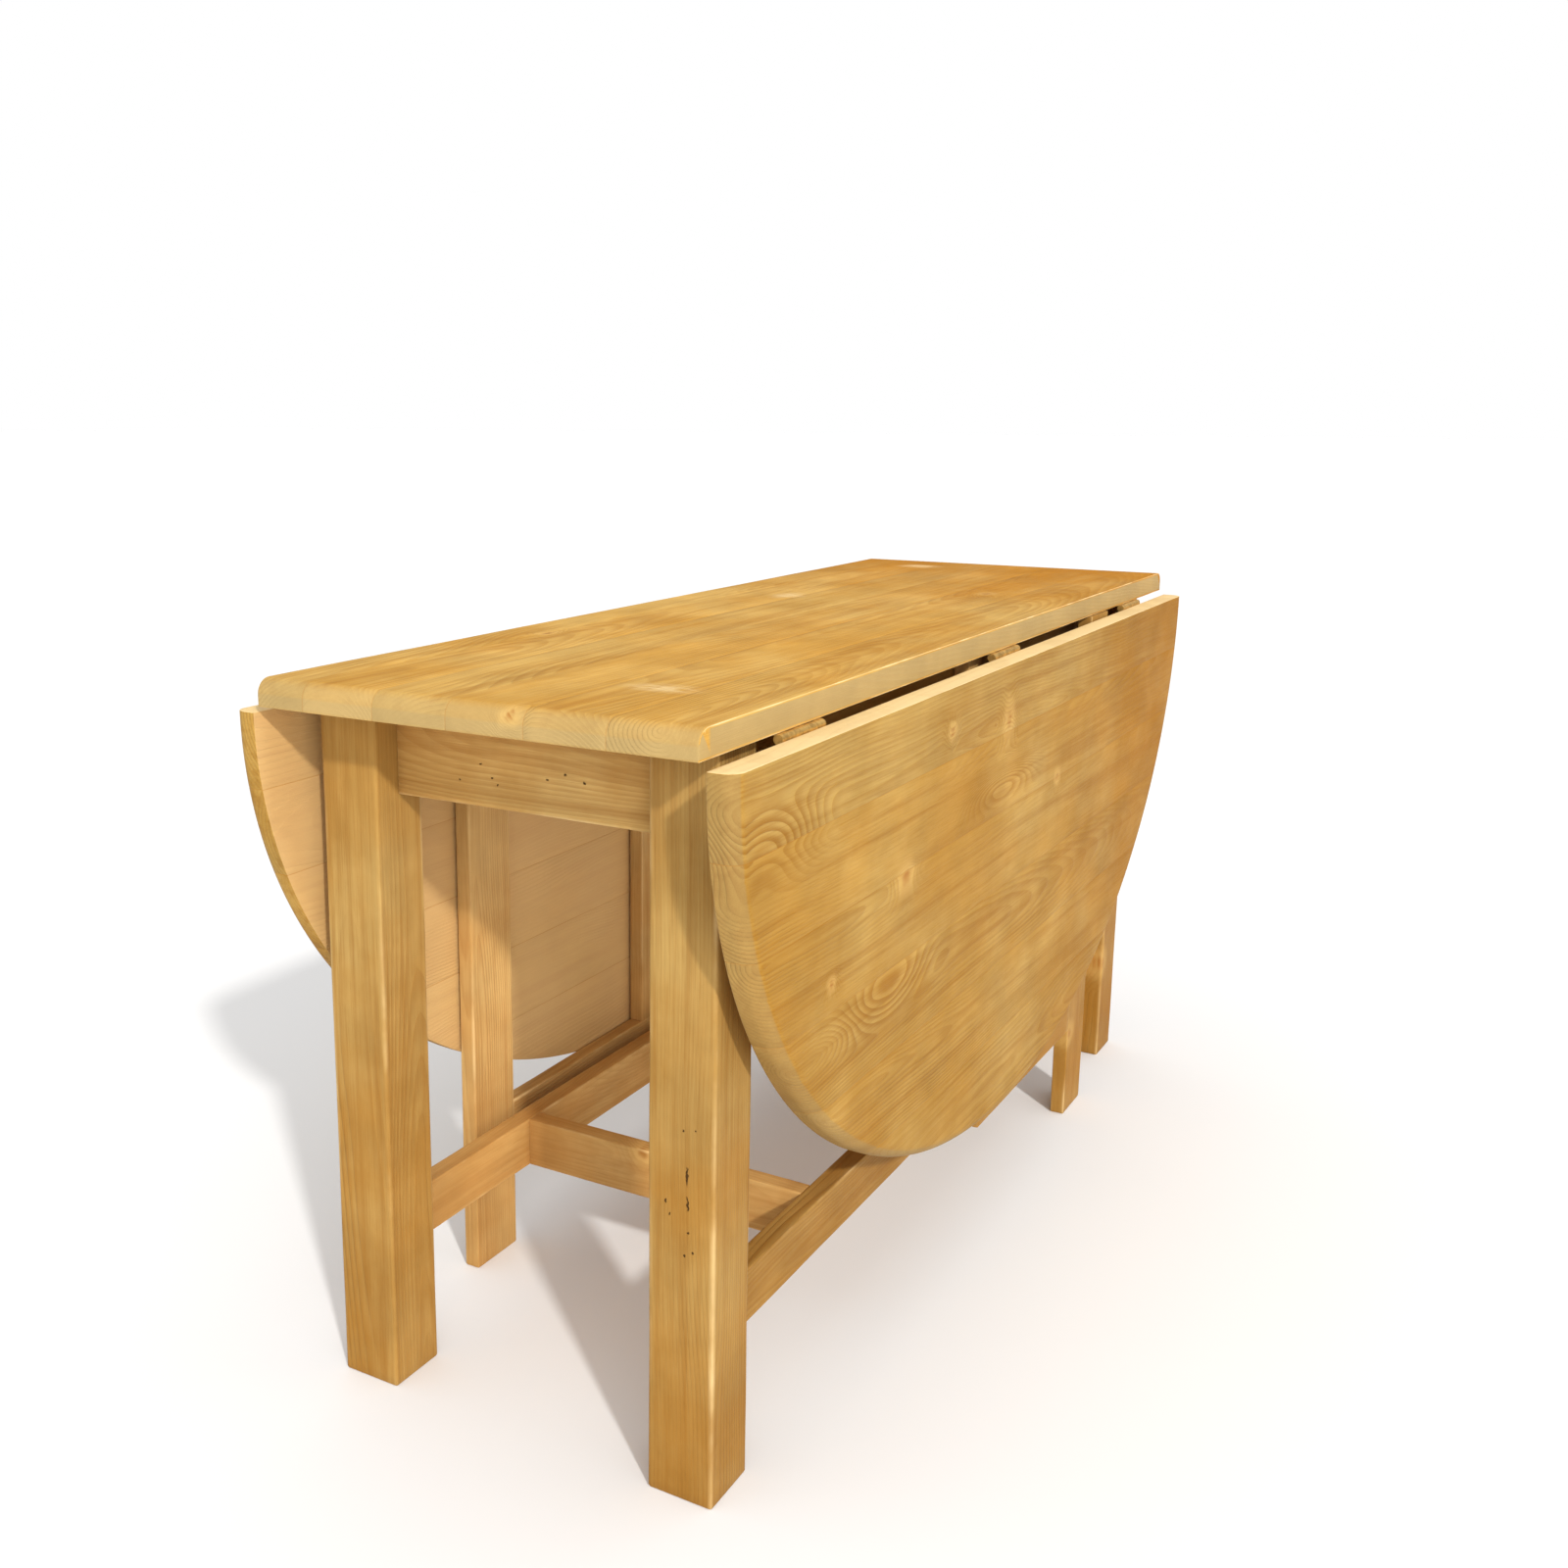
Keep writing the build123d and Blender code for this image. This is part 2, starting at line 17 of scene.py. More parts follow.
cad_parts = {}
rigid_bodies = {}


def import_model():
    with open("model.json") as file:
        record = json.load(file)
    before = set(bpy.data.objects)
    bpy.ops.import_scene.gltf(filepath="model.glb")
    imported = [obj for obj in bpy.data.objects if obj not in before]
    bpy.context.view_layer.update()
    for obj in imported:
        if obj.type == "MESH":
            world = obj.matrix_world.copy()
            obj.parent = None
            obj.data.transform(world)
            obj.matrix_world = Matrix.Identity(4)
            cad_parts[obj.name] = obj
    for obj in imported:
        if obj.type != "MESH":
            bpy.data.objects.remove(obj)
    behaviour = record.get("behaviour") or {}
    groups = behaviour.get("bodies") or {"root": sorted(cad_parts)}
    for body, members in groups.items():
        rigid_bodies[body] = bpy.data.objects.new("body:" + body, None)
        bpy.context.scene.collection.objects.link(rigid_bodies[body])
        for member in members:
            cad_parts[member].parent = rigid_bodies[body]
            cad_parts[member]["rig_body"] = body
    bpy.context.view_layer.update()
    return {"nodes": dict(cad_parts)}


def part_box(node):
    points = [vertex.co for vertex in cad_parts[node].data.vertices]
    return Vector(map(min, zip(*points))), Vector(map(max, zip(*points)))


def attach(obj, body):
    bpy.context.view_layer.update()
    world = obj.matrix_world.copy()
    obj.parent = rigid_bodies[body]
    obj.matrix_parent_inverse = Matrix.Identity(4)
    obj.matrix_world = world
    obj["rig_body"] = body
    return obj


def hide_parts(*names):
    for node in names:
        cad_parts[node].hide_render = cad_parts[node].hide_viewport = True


bl_info = {
    "name": "Gateleg table",
    "version": (1, 0, 0),
    "blender": (4, 5, 0),
    "location": "View3D > Sidebar > Gateleg table",
    "description": "Builds the boards, panels, hinges and screws of a gateleg table",
    "category": "Add Mesh",
}

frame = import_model()

MM = 0.001
SIDES = ("front", "rear")
ENDS = ("left", "right")
SIDE_SIGN = {"front": -1, "rear": 1}
BODY_OF_LEAF = {"front": "front_leaf_body", "rear": "rear_leaf_body"}
STEEL_SCREWS = ("button_screws", "hinge_post_screws", "front_leaf_stop_screws", "rear_leaf_stop_screws")

# Glue lines between a panel's boards: Y on the top, Z on a hanging leaf
TOP_SEAMS = (-0.152, -0.068, 0.016, 0.100, 0.184)
LEAF_SEAMS = (0.276, 0.369, 0.462, 0.555, 0.648)

# Each board has a number, which picks its grain: these are first numbers and the steps between them
PANEL_BOARD_STEP = 7.31
FRAME_BOARD_STEP = 1.37
FIRST_FRAME_BOARD = 2.0
TOP_BOARD = 12.3
FRONT_LEAF_BOARD = 31.7
NEXT_LEAF_STEP = 20
BLOCKS_BOARD = 3.7

# How far marks reach into the wood, in metres: near the face, or right through a panel
MARK_REACH = 0.02
THROUGH_REACH = 0.05

# Marks on a face: place along the face's two axes, then half-sizes along them
LEAF_KNOTS = (
    (-0.070, 0.661, 0.011, 0.014),
    (-0.253, 0.679, 0.007, 0.006),
    (-0.370, 0.549, 0.013, 0.010),
    (0.131, 0.555, 0.008, 0.006),
    (-0.546, 0.490, 0.006, 0.005),
)
LEAF_SWIRLS = (
    (-0.690, 0.650, 0.034, 0.011),
    (-0.420, 0.438, 0.036, 0.009),
    (-0.080, 0.590, 0.040, 0.008),
)
TOP_KNOTS = ((-0.336, 0.183, 0.010, 0.006), (0.310, -0.110, 0.012, 0.008))
# Pale patches on the top, partly scuffs and partly a painted reflection of the light
TOP_SCUFFS_AND_REFLECTIONS = (
    (-0.586, -0.118, 0.030, 0.055),
    (0.152, 0.116, 0.050, 0.030),
    (0.640, 0.120, 0.040, 0.050),
)
# Worm holes: place along the face's two axes, then half the height
HOLE_HALF_WIDTH = 1.3 * MM
LEG_HOLES = (
    (-0.191, 0.376, 0.0013),
    (-0.204, 0.379, 0.0013),
    (-0.195, 0.332, 0.011),
    (-0.196, 0.305, 0.008),
    (-0.173, 0.303, 0.003),
    (-0.177, 0.291, 0.002),
    (-0.196, 0.277, 0.0013),
    (-0.193, 0.253, 0.0013),
    (-0.202, 0.258, 0.0013),
)
APRON_HOLE = (1.6 * MM, 1.3 * MM)
APRON_HOLES = (
    (0.052, 0.679),
    (-0.045, 0.680),
    (0.039, 0.667),
    (-0.066, 0.675),
    (0.078, 0.661),
    (-0.025, 0.673),
    (0.033, 0.661),
)
# Marks in the frame: centre and half-sizes
FRAME_KNOTS = (
    ((0.605, -0.224, 0.154), (0.012, 0.030, 0.014)),
    ((0.365, -0.2445, 0.124), (0.012, 0.030, 0.011)),
    ((-0.394, 0.020, 0.183), (0.030, 0.010, 0.008)),
)


def linear(hex_colour):
    """A screen colour such as "C9A060", as linear red, green, blue and alpha."""
    parts = [int(hex_colour[i : i + 2], 16) / 255 for i in (0, 2, 4)]
    return [c / 12.92 if c <= 0.04045 else ((c + 0.055) / 1.055) ** 2.4 for c in parts] + [1.0]


# ---- Properties ----


def number_property(name, description, default, **more):
    return bpy.props.FloatProperty(name=name, description=description, default=default, **more)


def length_property(name, description, default):
    return number_property(name, description, default, min=0, unit="LENGTH")


def vector_property(name, description, default, subtype="XYZ", **more):
    return bpy.props.FloatVectorProperty(
        name=name, description=description, default=default, subtype=subtype, **more
    )


def colour_property(name, description, hex_colour):
    return vector_property(name, description, linear(hex_colour), "COLOR", size=4, min=0, max=1)


class PineSettings(bpy.types.PropertyGroup):
    """Colours and grain of the waxed pine."""

    honey: colour_property("Honey", "Early wood where the wax is thin", "E0B76C")
    straw: colour_property("Straw", "Early wood between the honey patches", "CFA055")
    late_wood: colour_property("Late wood", "The dark side of each growth ring", "A56A24")
    amber: colour_property("Amber", "Old wax, near the feet and in patches", "B87820")
    # Pale bare wood: worn arrises, and painted highlights and reflections
    rubbed_and_painted_light: colour_property("Rubbed and painted light", "Pale bare wood on the arrises", "EFD29A")
    painted_shade: colour_property("Painted shade", "Dull upright edges of the panels", "B69D6E")
    # Painted shade: the dull darker colour of the panels' upright faces
    raw_and_painted_fill: colour_property("Raw", "Unwaxed wood inside the table", "D8B27C")
    # Paler raw wood inside the table: partly unwaxed wood, partly painted fill light
    knot: colour_property("Knot", "The middle of a knot", "9A5E22")
    hole: colour_property("Hole", "The dark of a worm hole or a crack", "3A2410")
    ring_width: length_property("Ring width", "Distance between growth rings", 4.2 * MM)
    ring_contrast: number_property("Ring contrast", "How dark the late wood is", 0.3, min=0, max=1)


class BoardSettings(bpy.types.PropertyGroup):
    """Sizes of the hand-worked surfaces."""

    arris: length_property("Arris", "Radius of a worn leg arris", 3.2 * MM)
    rail_arris: length_property("Rail arris", "Radius of a rail's arris", 1.8 * MM)
    foot_round: length_property("Foot round", "How far a foot is rounded under", 2.2 * MM)
    shoulder_round: length_property("Shoulder round", "Rounding where a rail meets a leg", 0.3 * MM)
    ripple: length_property("Ripple", "How far hand-planed faces wander", 0.35 * MM)
    rim_round: length_property("Rim round", "Quarter-round of the top's ends and the leaves' rims", 16 * MM)
    panel_arris: length_property("Panel arris", "Softening of the panels' square edges", 0.9 * MM)
    seam_depth: length_property("Seam depth", "Depth of a glue line", 0.22 * MM)


class MetalSettings(bpy.types.PropertyGroup):
    """Colours of the hinges and screws."""

    brass: colour_property("Brass", "Rubbed brass", "E3B866")
    tarnish: colour_property("Tarnish", "Old brass in the corners", "8E6A34")
    steel: colour_property("Steel", "Dulled steel screws", "7C7468")
    slot_width: length_property("Slot width", "Width of a screw's slot", 0.8 * MM)
    slot_depth: length_property("Slot depth", "Depth of a screw's slot", 0.7 * MM)


class StageSettings(bpy.types.PropertyGroup):
    """Camera, light and floor."""

    camera_place: vector_property("Camera place", "Where the camera stands", (-1.848, -0.857, 1.011))
    camera_aim: vector_property("Camera aim", "Direction of the lens", (0.8352, 0.5086, -0.2094), "DIRECTION")
    focal_length: number_property("Focal length", "On a 36 mm wide sensor", 37.1, unit="CAMERA")
    shift_x: number_property("Shift X", "Lens shift across", 0.094)
    shift_y: number_property("Shift Y", "Lens shift up", -0.019)
    floor: colour_property("Floor", "Pale studio floor", "EAEAEA")
    key_aim: vector_property("Key aim", "Direction of the key light", (1.0, 1.17, -0.95))
    key_strength: number_property("Key light", "Strength of the key light", 2.4, min=0)
    key_softness: number_property("Key softness", "Angle the key light fills", 0.05, subtype="ANGLE")
    fill_place: vector_property("Fill place", "Where the fill light stands", (-5.6, -3.9, 1.7))
    fill_target: vector_property("Fill target", "What the fill light faces", (0.0, 0.0, 0.4))
    fill_size: length_property("Fill size", "Side of the square fill light", 4.0)
    fill_power: number_property("Fill light", "Power of the broad fill light", 165, unit="POWER")
    card_place: vector_property("Card place", "Where the reflector card stands", (-0.15, -0.165, 0.42))
    card_length: length_property("Card length", "Length of the card", 0.9)
    card_height: length_property("Card height", "Height of the card", 0.35)
    card_power: number_property("Reflector card", "Power of the card between the legs", 1.0, unit="POWER")
    sky: number_property("Sky", "Strength of the room's light", 0.25)
    overhead: number_property("Overhead", "Extra light from overhead", 0.95)
    backdrop: number_property("Backdrop", "Brightness behind the table", 1.0)


# ---- Shader building ----


class Net:
    """A node tree under construction. A socket argument may be a value or another node's output."""

    def __init__(self, tree):
        self.tree = tree

    def node(self, kind, values=(), **settings):
        made = self.tree.nodes.new(kind)
        for key, value in settings.items():
            setattr(made, key, value)
        for key, value in dict(values).items():
            self.feed(made.inputs[key], value)
        return made

    def feed(self, socket, value):
        if isinstance(value, bpy.types.NodeSocket):
            self.tree.links.new(value, socket)
        elif value is not None:
            socket.default_value = value

    def math(self, operation, a, b=None, c=None):
        made = self.node("ShaderNodeMath", operation=operation)
        for socket, value in zip(made.inputs, (a, b, c)):
            self.feed(socket, value)
        return made.outputs[0]

    def times(self, a, b):
        return self.math("MULTIPLY", a, b)

    def plus(self, a, b):
        return self.math("ADD", a, b)

    def minus(self, a, b):
        return self.math("SUBTRACT", a, b)

    def larger(self, a, b):
        return self.math("MAXIMUM", a, b)

    def smaller(self, a, b):
        return self.math("MINIMUM", a, b)

    def scaled(self, value, factor, start):
        return self.math("MULTIPLY_ADD", value, factor, start)

    def split(self, place):
        return self.node("ShaderNodeSeparateXYZ", {0: place}).outputs

    def vector(self, operation, a, b=None, scale=None):
        made = self.node("ShaderNodeVectorMath", operation=operation)
        self.feed(made.inputs[0], a)
        self.feed(made.inputs[1], b)
        if scale is not None:
            self.feed(made.inputs["Scale"], scale)
        return made.outputs["Value" if operation in ("LENGTH", "DOT_PRODUCT", "DISTANCE") else "Vector"]

    def noise(self, place, layer, seed):
        """One of the layers of noise, from 0 to 1 around 0.5."""
        waves, detail, roughness = layer
        stretched = self.vector("MULTIPLY", place, waves)
        values = {"Vector": stretched, "W": seed, "Scale": 1.0, "Detail": detail, "Roughness": roughness}
        return self.node("ShaderNodeTexNoise", values, noise_dimensions="4D").outputs[0]

    def shaken(self, place, scale, reach):
        """A place moved about by noise, which makes the edges of marks ragged."""
        values = {"Vector": place, "Scale": scale, "Detail": 3.0}
        shake = self.node("ShaderNodeTexNoise", values).outputs["Color"]
        shake = self.vector("SCALE", self.vector("SUBTRACT", shake, (0.5, 0.5, 0.5)), scale=reach)
        return self.vector("ADD", place, shake)

    def rise(self, value, low, high, top=1.0):
        """0 at `low`, `top` at `high`, and smooth between. `low` may be the larger number."""
        made = self.node("ShaderNodeMapRange", interpolation_type="SMOOTHSTEP")
        for key, number in (("Value", value), ("From Min", low), ("From Max", high), ("To Max", top)):
            self.feed(made.inputs[key], number)
        return made.outputs[0]

    def blend(self, share, a, b, mode="MIX"):
        made = self.node("ShaderNodeMix", data_type="RGBA", blend_type=mode)
        self.feed(made.inputs[0], share)
        self.feed(made.inputs[6], a)
        self.feed(made.inputs[7], b)
        return made.outputs[2]


def new_material(name):
    """An empty material and its net."""
    material = bpy.data.materials.new(name)
    material.use_nodes = True
    material.node_tree.nodes.clear()
    return material, Net(material.node_tree)


def finish_material(net, colour, roughness, height, bump_distance, **fixed):
    """Closes a net with a surface. `fixed` are constants on the surface's own sockets."""
    bump = net.node("ShaderNodeBump", {"Strength": 1.0, "Distance": bump_distance, "Height": height})
    surface = net.node("ShaderNodeBsdfPrincipled")
    net.feed(surface.inputs["Base Color"], colour)
    net.feed(surface.inputs["Roughness"], roughness)
    net.feed(surface.inputs["Normal"], bump.outputs[0])
    for key, value in fixed.items():
        surface.inputs[key.replace("_", " ")].default_value = value
    net.node("ShaderNodeOutputMaterial", {0: surface.outputs[0]})


def mark_mask(net, place, centre, size, softness=0.6):
    """1 inside an ellipsoid of half-sizes `size` around `centre`, fading to 0 at its skin, and the
    distance from its centre in half-sizes."""
    scaled = net.vector("DIVIDE", net.vector("SUBTRACT", place, centre), size)
    distance = net.vector("LENGTH", scaled)
    return net.rise(distance, 1.0, 1.0 - softness), distance


# Where a board's pith lies: metres to one side, metres below, and its lean per metre of board
PITH_ASIDE = 0.11
PITH_BELOW = 0.05
LEAST_BELOW = 0.012
PITH_LEAN = 0.16
# How far the pith wanders, in metres, and how far noise moves a ring, in rings
WANDER_ACROSS = 0.085
WANDER_THROUGH = 0.06
RING_SHAKE = 0.55
# What a knot and a swirl do to the rings, each as: outer reach and inner reach in half-sizes, rings added
KNOT_PUSH = (4.2, 0.6, 3.6)
SWIRL_PUSH = (5.0, 0.2, 8.0)
KNOT_HALO = (2.6, 1.0)
SWIRL_HALO = (4.6, 1.5)
# Layers of noise: waves per metre on each axis (along, across and through a board), detail, roughness
PITH_ACROSS = ((1.3, 3.5, 3.5), 2.0, 0.5)
PITH_THROUGH = ((1.6, 4.0, 4.0), 2.0, 0.5)
RING_NOISE = ((5, 38, 38), 3.0, 0.5)
CLARITY = ((1.8, 9, 9), 2.0, 0.5)
FIBRES = ((16, 850, 850), 3.0, 0.6)
STREAKS = ((2.2, 90, 90), 2.0, 0.5)
MOTTLE = ((11, 16, 16), 4.0, 0.55)
PATCHES = ((5, 9, 7), 4.0, 0.55)
CLOUDS = ((2.4, 4, 3), 3.0, 0.5)
RUBBING = ((16, 16, 9), 4.0, 0.5)
RAGGED = ((130, 28, 30), 4.0, 0.65)
PLANED = ((30, 30, 30), 3.0, 0.5)
TARNISH = ((120, 120, 120), 4.0, 0.6)
SPECKS = ((900, 900, 900), 2.0, 0.5)
SCRATCHES = ((90, 2600, 2600), 2.0, 0.5)
FLOOR_MOTTLE = ((40, 40, 40), 3.0, 0.5)

# Smooth rises: the value where nothing shows, the value where all of it shows and, where it isn't 1,
# the share that shows
RING_RISE = (0.15, 0.84)
RING_FALL = (1.0, 0.9)
CLARITY_RISE = (0.38, 0.66)
STRAW_RISE = (0.42, 0.74)
STREAK_RISE = (0.45, 0.7, 0.36)
FIBRE_RISE = (0.44, 0.68, 0.24)
CLOUD_RISE = (0.5, 0.74, 0.42)
FOOT_RISE = (0.55, 0.0)
FAR_RISE = (0.05, 0.8)
RUBBED_RISE = (0.42, 0.72, 0.6)
RAGGED_RISE = (0.38, 0.52)
STRAY_HOLE_RISE = (0.016, 0.008, 0.8)
STRAY_CHANCE_RISE = (0.93, 0.95)
TARNISH_RISE = (0.34, 0.76, 0.75)
SPECK_RISE = (0.6, 0.75, 0.2)

# Shares of one colour in another
KNOT_RING_SHARE = 0.25
SWIRL_RING_SHARE = 0.3
KNOT_HIGHLIGHT_SHARE = 0.3
SEAM_SHARE = 0.38
SCUFF_AND_REFLECTION_SHARE = 0.6
RAW_AND_FILL_SHARE = 0.7
MOST_AMBER = 0.85
MOST_COVER = 0.9


def board_marks(net, place, marked):
    """The attributes of a board: grain, board, wear_and_painted_light and seam. Where the mesh has none,
    the boards run along X."""
    if not marked:
        return place, BLOCKS_BOARD, 0.0, 0.0
    kinds = (("grain", "Vector"), ("board", "Fac"), ("wear_and_painted_light", "Fac"), ("seam", "Fac"))
    return [net.node("ShaderNodeAttribute", attribute_name=name).outputs[kind] for name, kind in kinds]


def growth_rings(net, grain, board, chances, ring_width):
    """How many rings lie between a place and the pith, which wanders beside and under the board."""
    aside, below, lean = chances
    along, across, through = net.split(grain)
    wander_across = net.minus(net.noise(grain, PITH_ACROSS, board), 0.5)
    wander_through = net.minus(net.noise(grain, PITH_THROUGH, net.plus(board, 41.0)), 0.5)
    beside = net.minus(across, net.scaled(aside, PITH_ASIDE, -PITH_ASIDE / 2))
    beside = net.plus(beside, net.times(wander_across, WANDER_ACROSS))
    under = net.plus(through, net.scaled(below, PITH_BELOW, LEAST_BELOW))
    under = net.plus(under, net.times(net.scaled(lean, PITH_LEAN, -PITH_LEAN / 2), along))
    under = net.plus(under, net.times(wander_through, WANDER_THROUGH))
    radius = net.math("SQRT", net.plus(net.times(beside, beside), net.times(under, under)))
    shake = net.times(net.noise(grain, RING_NOISE, board), RING_SHAKE)
    return net.plus(net.math("DIVIDE", radius, ring_width), shake)


def knots_and_swirls(net, place, rings, knots, swirls):
    """The rings as knots and swirls push them aside, then where the knots' cores, the knots' halos
    (which also carry a painted highlight) and the swirls are."""
    core, halo, swirled = 0.0, 0.0, 0.0
    shaken = net.shaken(place, 55.0, 11 * MM)
    for centre, size in knots:
        inside, distance = mark_mask(net, shaken, centre, size, 0.75)
        rings = net.plus(rings, net.rise(distance, *KNOT_PUSH))
        core = net.larger(inside, core)
        halo = net.larger(net.rise(distance, *KNOT_HALO), halo)
    for centre, size in swirls:
        _, distance = mark_mask(net, place, centre, size)
        rings = net.plus(rings, net.rise(distance, *SWIRL_PUSH))
        swirled = net.larger(net.rise(distance, *SWIRL_HALO), swirled)
    return rings, core, halo, swirled


def amber_share(net, place, patches, foot_wax, far_amber):
    """The share of amber: old wax in clouds and towards the feet, and amber towards the right-hand end."""
    x, _, z = net.split(place)
    amber_part = net.larger(net.rise(z, *FOOT_RISE, foot_wax), net.rise(x, *FAR_RISE, far_amber))
    amber_part = net.plus(amber_part, net.rise(net.noise(place, CLOUDS, 5.0), *CLOUD_RISE))
    return net.smaller(net.times(amber_part, net.scaled(patches, 1.0, 0.45)), MOST_AMBER)


def bare_wood(net, place, wear_and_painted_light, scuffs_and_reflections):
    """The share of pale bare wood: on rubbed arrises, as a painted highlight where the mark is over 1, and in
    scuffs that are partly a painted reflection.
    """
    patchy = net.rise(net.noise(place, RUBBING, 2.0), *RUBBED_RISE)
    bare = net.times(net.larger(wear_and_painted_light, 0.0), patchy)
    # Over 1 the pale wood is a painted highlight, on the leaves' hinge edges and the top's long arrises
    bare = net.plus(bare, net.larger(net.minus(wear_and_painted_light, 1.0), 0.0))
    # Scuffs: pale ragged patches, partly scuffed wear and partly a painted reflection
    for centre, size in scuffs_and_reflections:
        scuff_and_reflection, _ = mark_mask(net, place, centre, size, 0.95)
        ragged = net.rise(net.noise(place, RAGGED, 9.0), *RAGGED_RISE)
        bare = net.larger(bare, net.times(net.times(scuff_and_reflection, ragged), SCUFF_AND_REFLECTION_SHARE))
    return net.smaller(bare, MOST_COVER)


def worm_holes(net, place, holes):
    """Where the worm holes and shakes are: the chosen ones and a few stray ones."""
    cells = net.node("ShaderNodeTexVoronoi", {"Vector": place, "Scale": 13.0, "Randomness": 1.0})
    chance = net.node("ShaderNodeSeparateColor", {0: cells.outputs["Color"]}).outputs[0]
    near = net.rise(cells.outputs["Distance"], *STRAY_HOLE_RISE)
    dark = net.times(near, net.rise(chance, *STRAY_CHANCE_RISE))
    chewed = net.shaken(place, 260.0, 4.5 * MM)
    for centre, size in holes:
        dark = net.larger(dark, mark_mask(net, chewed, centre, size, 0.5)[0])
    return dark


def late_wood(net, grain, board, rings):
    """How dark each ring is, from 0 to 1, and how clearly the rings show there."""
    phase = net.math("FRACT", rings)
    late = net.times(net.rise(phase, *RING_RISE), net.rise(phase, *RING_FALL))
    clarity = net.rise(net.noise(grain, CLARITY, net.plus(board, 11.0)), *CLARITY_RISE)
    return late, net.scaled(clarity, 0.75, 0.25)


def pine_material(
    name,
    pine,
    tone=1.0,
    warmth=1.0,
    foot_wax=0.5,
    far_amber=0.6,
    raw_and_painted_fill=None,
    knots=(),
    swirls=(),
    holes=(),
    scuffs_and_reflections=(),
    marked=True,
):
    """Waxed pine. Knots, swirls, holes and scuffs (partly painted reflections) are pairs of a centre and
    half-sizes in the table's frame. `tone` and `warmth` scale its brightness and its saturation; the
    tones of the different copies also carry painted light. `foot_wax` is the share of amber wax at the
    feet and `far_amber` the share of amber towards the right-hand end. `raw_and_painted_fill` is the
    pair of Y values between which waxed wood turns to paler raw wood, partly painted fill light.
    `marked` says whether the mesh has board marks."""
    material, net = new_material(name)
    place = net.node("ShaderNodeTexCoord").outputs["Object"]
    grain, board, wear_and_painted_light, seam = board_marks(net, place, marked)
    chance = net.node("ShaderNodeTexWhiteNoise", {"W": board}, noise_dimensions="1D").outputs["Color"]
    chances = net.split(chance)
    aside = chances[0]

    rings = growth_rings(net, grain, board, chances, pine.ring_width)
    rings, core, halo, swirled = knots_and_swirls(net, place, rings, knots, swirls)
    late, clarity = late_wood(net, grain, board, rings)
    ring_share = net.times(net.times(late, clarity), pine.ring_contrast)
    ring_share = net.plus(ring_share, net.times(net.times(halo, late), KNOT_RING_SHARE))
    ring_share = net.plus(ring_share, net.times(net.times(swirled, late), SWIRL_RING_SHARE))

    # The wood's own colours, under old wax
    fibres = net.noise(grain, FIBRES, board)
    patches = net.noise(place, PATCHES, 0.0)
    straw_share = net.rise(net.plus(patches, net.times(aside, 0.16)), *STRAW_RISE)
    colour = net.blend(straw_share, pine.honey, pine.straw)
    colour = net.blend(ring_share, colour, pine.late_wood)
    streak_share = net.rise(net.noise(grain, STREAKS, board), *STREAK_RISE)
    colour = net.blend(streak_share, colour, pine.late_wood)
    colour = net.blend(net.rise(fibres, *FIBRE_RISE), colour, pine.late_wood)
    colour = net.blend(amber_share(net, place, patches, foot_wax, far_amber), colour, pine.amber)

    # Upright faces get painted shade, a dull darker colour, and each board has its own tone
    painted_shade_share = net.larger(net.times(wear_and_painted_light, -MOST_COVER), 0.0)
    colour = net.blend(net.smaller(painted_shade_share, MOST_COVER), colour, pine.painted_shade)
    own_tone = net.scaled(aside, 0.11 * tone, 0.945 * tone)
    own_tone = net.times(own_tone, net.scaled(net.noise(grain, MOTTLE, board), 0.6, 0.7))
    toned = {"Color": colour, "Value": own_tone, "Saturation": warmth}
    colour = net.node("ShaderNodeHueSaturation", toned).outputs[0]

    # Raw wood, paled partly as painted fill light; knots, with a painted highlight in their halos; seams;
    # pale bare wood, partly painted highlights and reflections; and holes
    if raw_and_painted_fill:
        colour = net.blend(net.rise(net.split(place)[1], *raw_and_painted_fill, RAW_AND_FILL_SHARE), colour, pine.raw_and_painted_fill)
    # The pale halo round each knot is a painted highlight
    colour = net.blend(net.times(halo, KNOT_HIGHLIGHT_SHARE), colour, pine.honey)
    colour = net.blend(net.times(core, net.scaled(late, 0.4, 0.3)), colour, pine.knot)
    colour = net.blend(net.times(seam, SEAM_SHARE), colour, pine.late_wood)
    colour = net.blend(bare_wood(net, place, wear_and_painted_light, scuffs_and_reflections), colour, pine.rubbed_and_painted_light)
    dark = worm_holes(net, place, holes)
    colour = net.blend(net.times(dark, MOST_COVER), colour, pine.hole)

    height = net.math("MULTIPLY_ADD", late, net.times(clarity, 0.5), net.times(fibres, -0.45))
    height = net.plus(height, net.times(net.noise(place, PLANED, 4.0), 0.5))
    height = net.minus(height, net.times(dark, 3.0))
    gloss = net.scaled(patches, 0.2, net.scaled(fibres, 0.12, 0.34))
    finish_material(net, colour, gloss, height, 0.6 * MM, Specular_IOR_Level=0.05)
    return material


def metal_material(name, bright, dull, roughness):
    """Old metal, dull and rubbed in patches, with dark specks."""
    material, net = new_material(name)
    place = net.node("ShaderNodeTexCoord").outputs["Object"]
    patches = net.noise(place, TARNISH, 0.0)
    specks = net.noise(place, SPECKS, 3.0)
    scratches = net.noise(place, SCRATCHES, 6.0)
    share = net.plus(net.rise(patches, *TARNISH_RISE), net.rise(specks, *SPECK_RISE))
    colour = net.blend(net.smaller(share, 1.0), bright, dull)
    rough = net.scaled(patches, 0.3, roughness)
    height = net.plus(net.times(specks, 0.5), net.times(scratches, 0.4))
    finish_material(net, colour, rough, height, 0.06 * MM, Metallic=0.8)
    return material


# ---- Mesh building ----


SHARP_ANGLE = math.radians(32)
SQUARE_ANGLE = math.radians(60)
TOUCHING = 1e-6

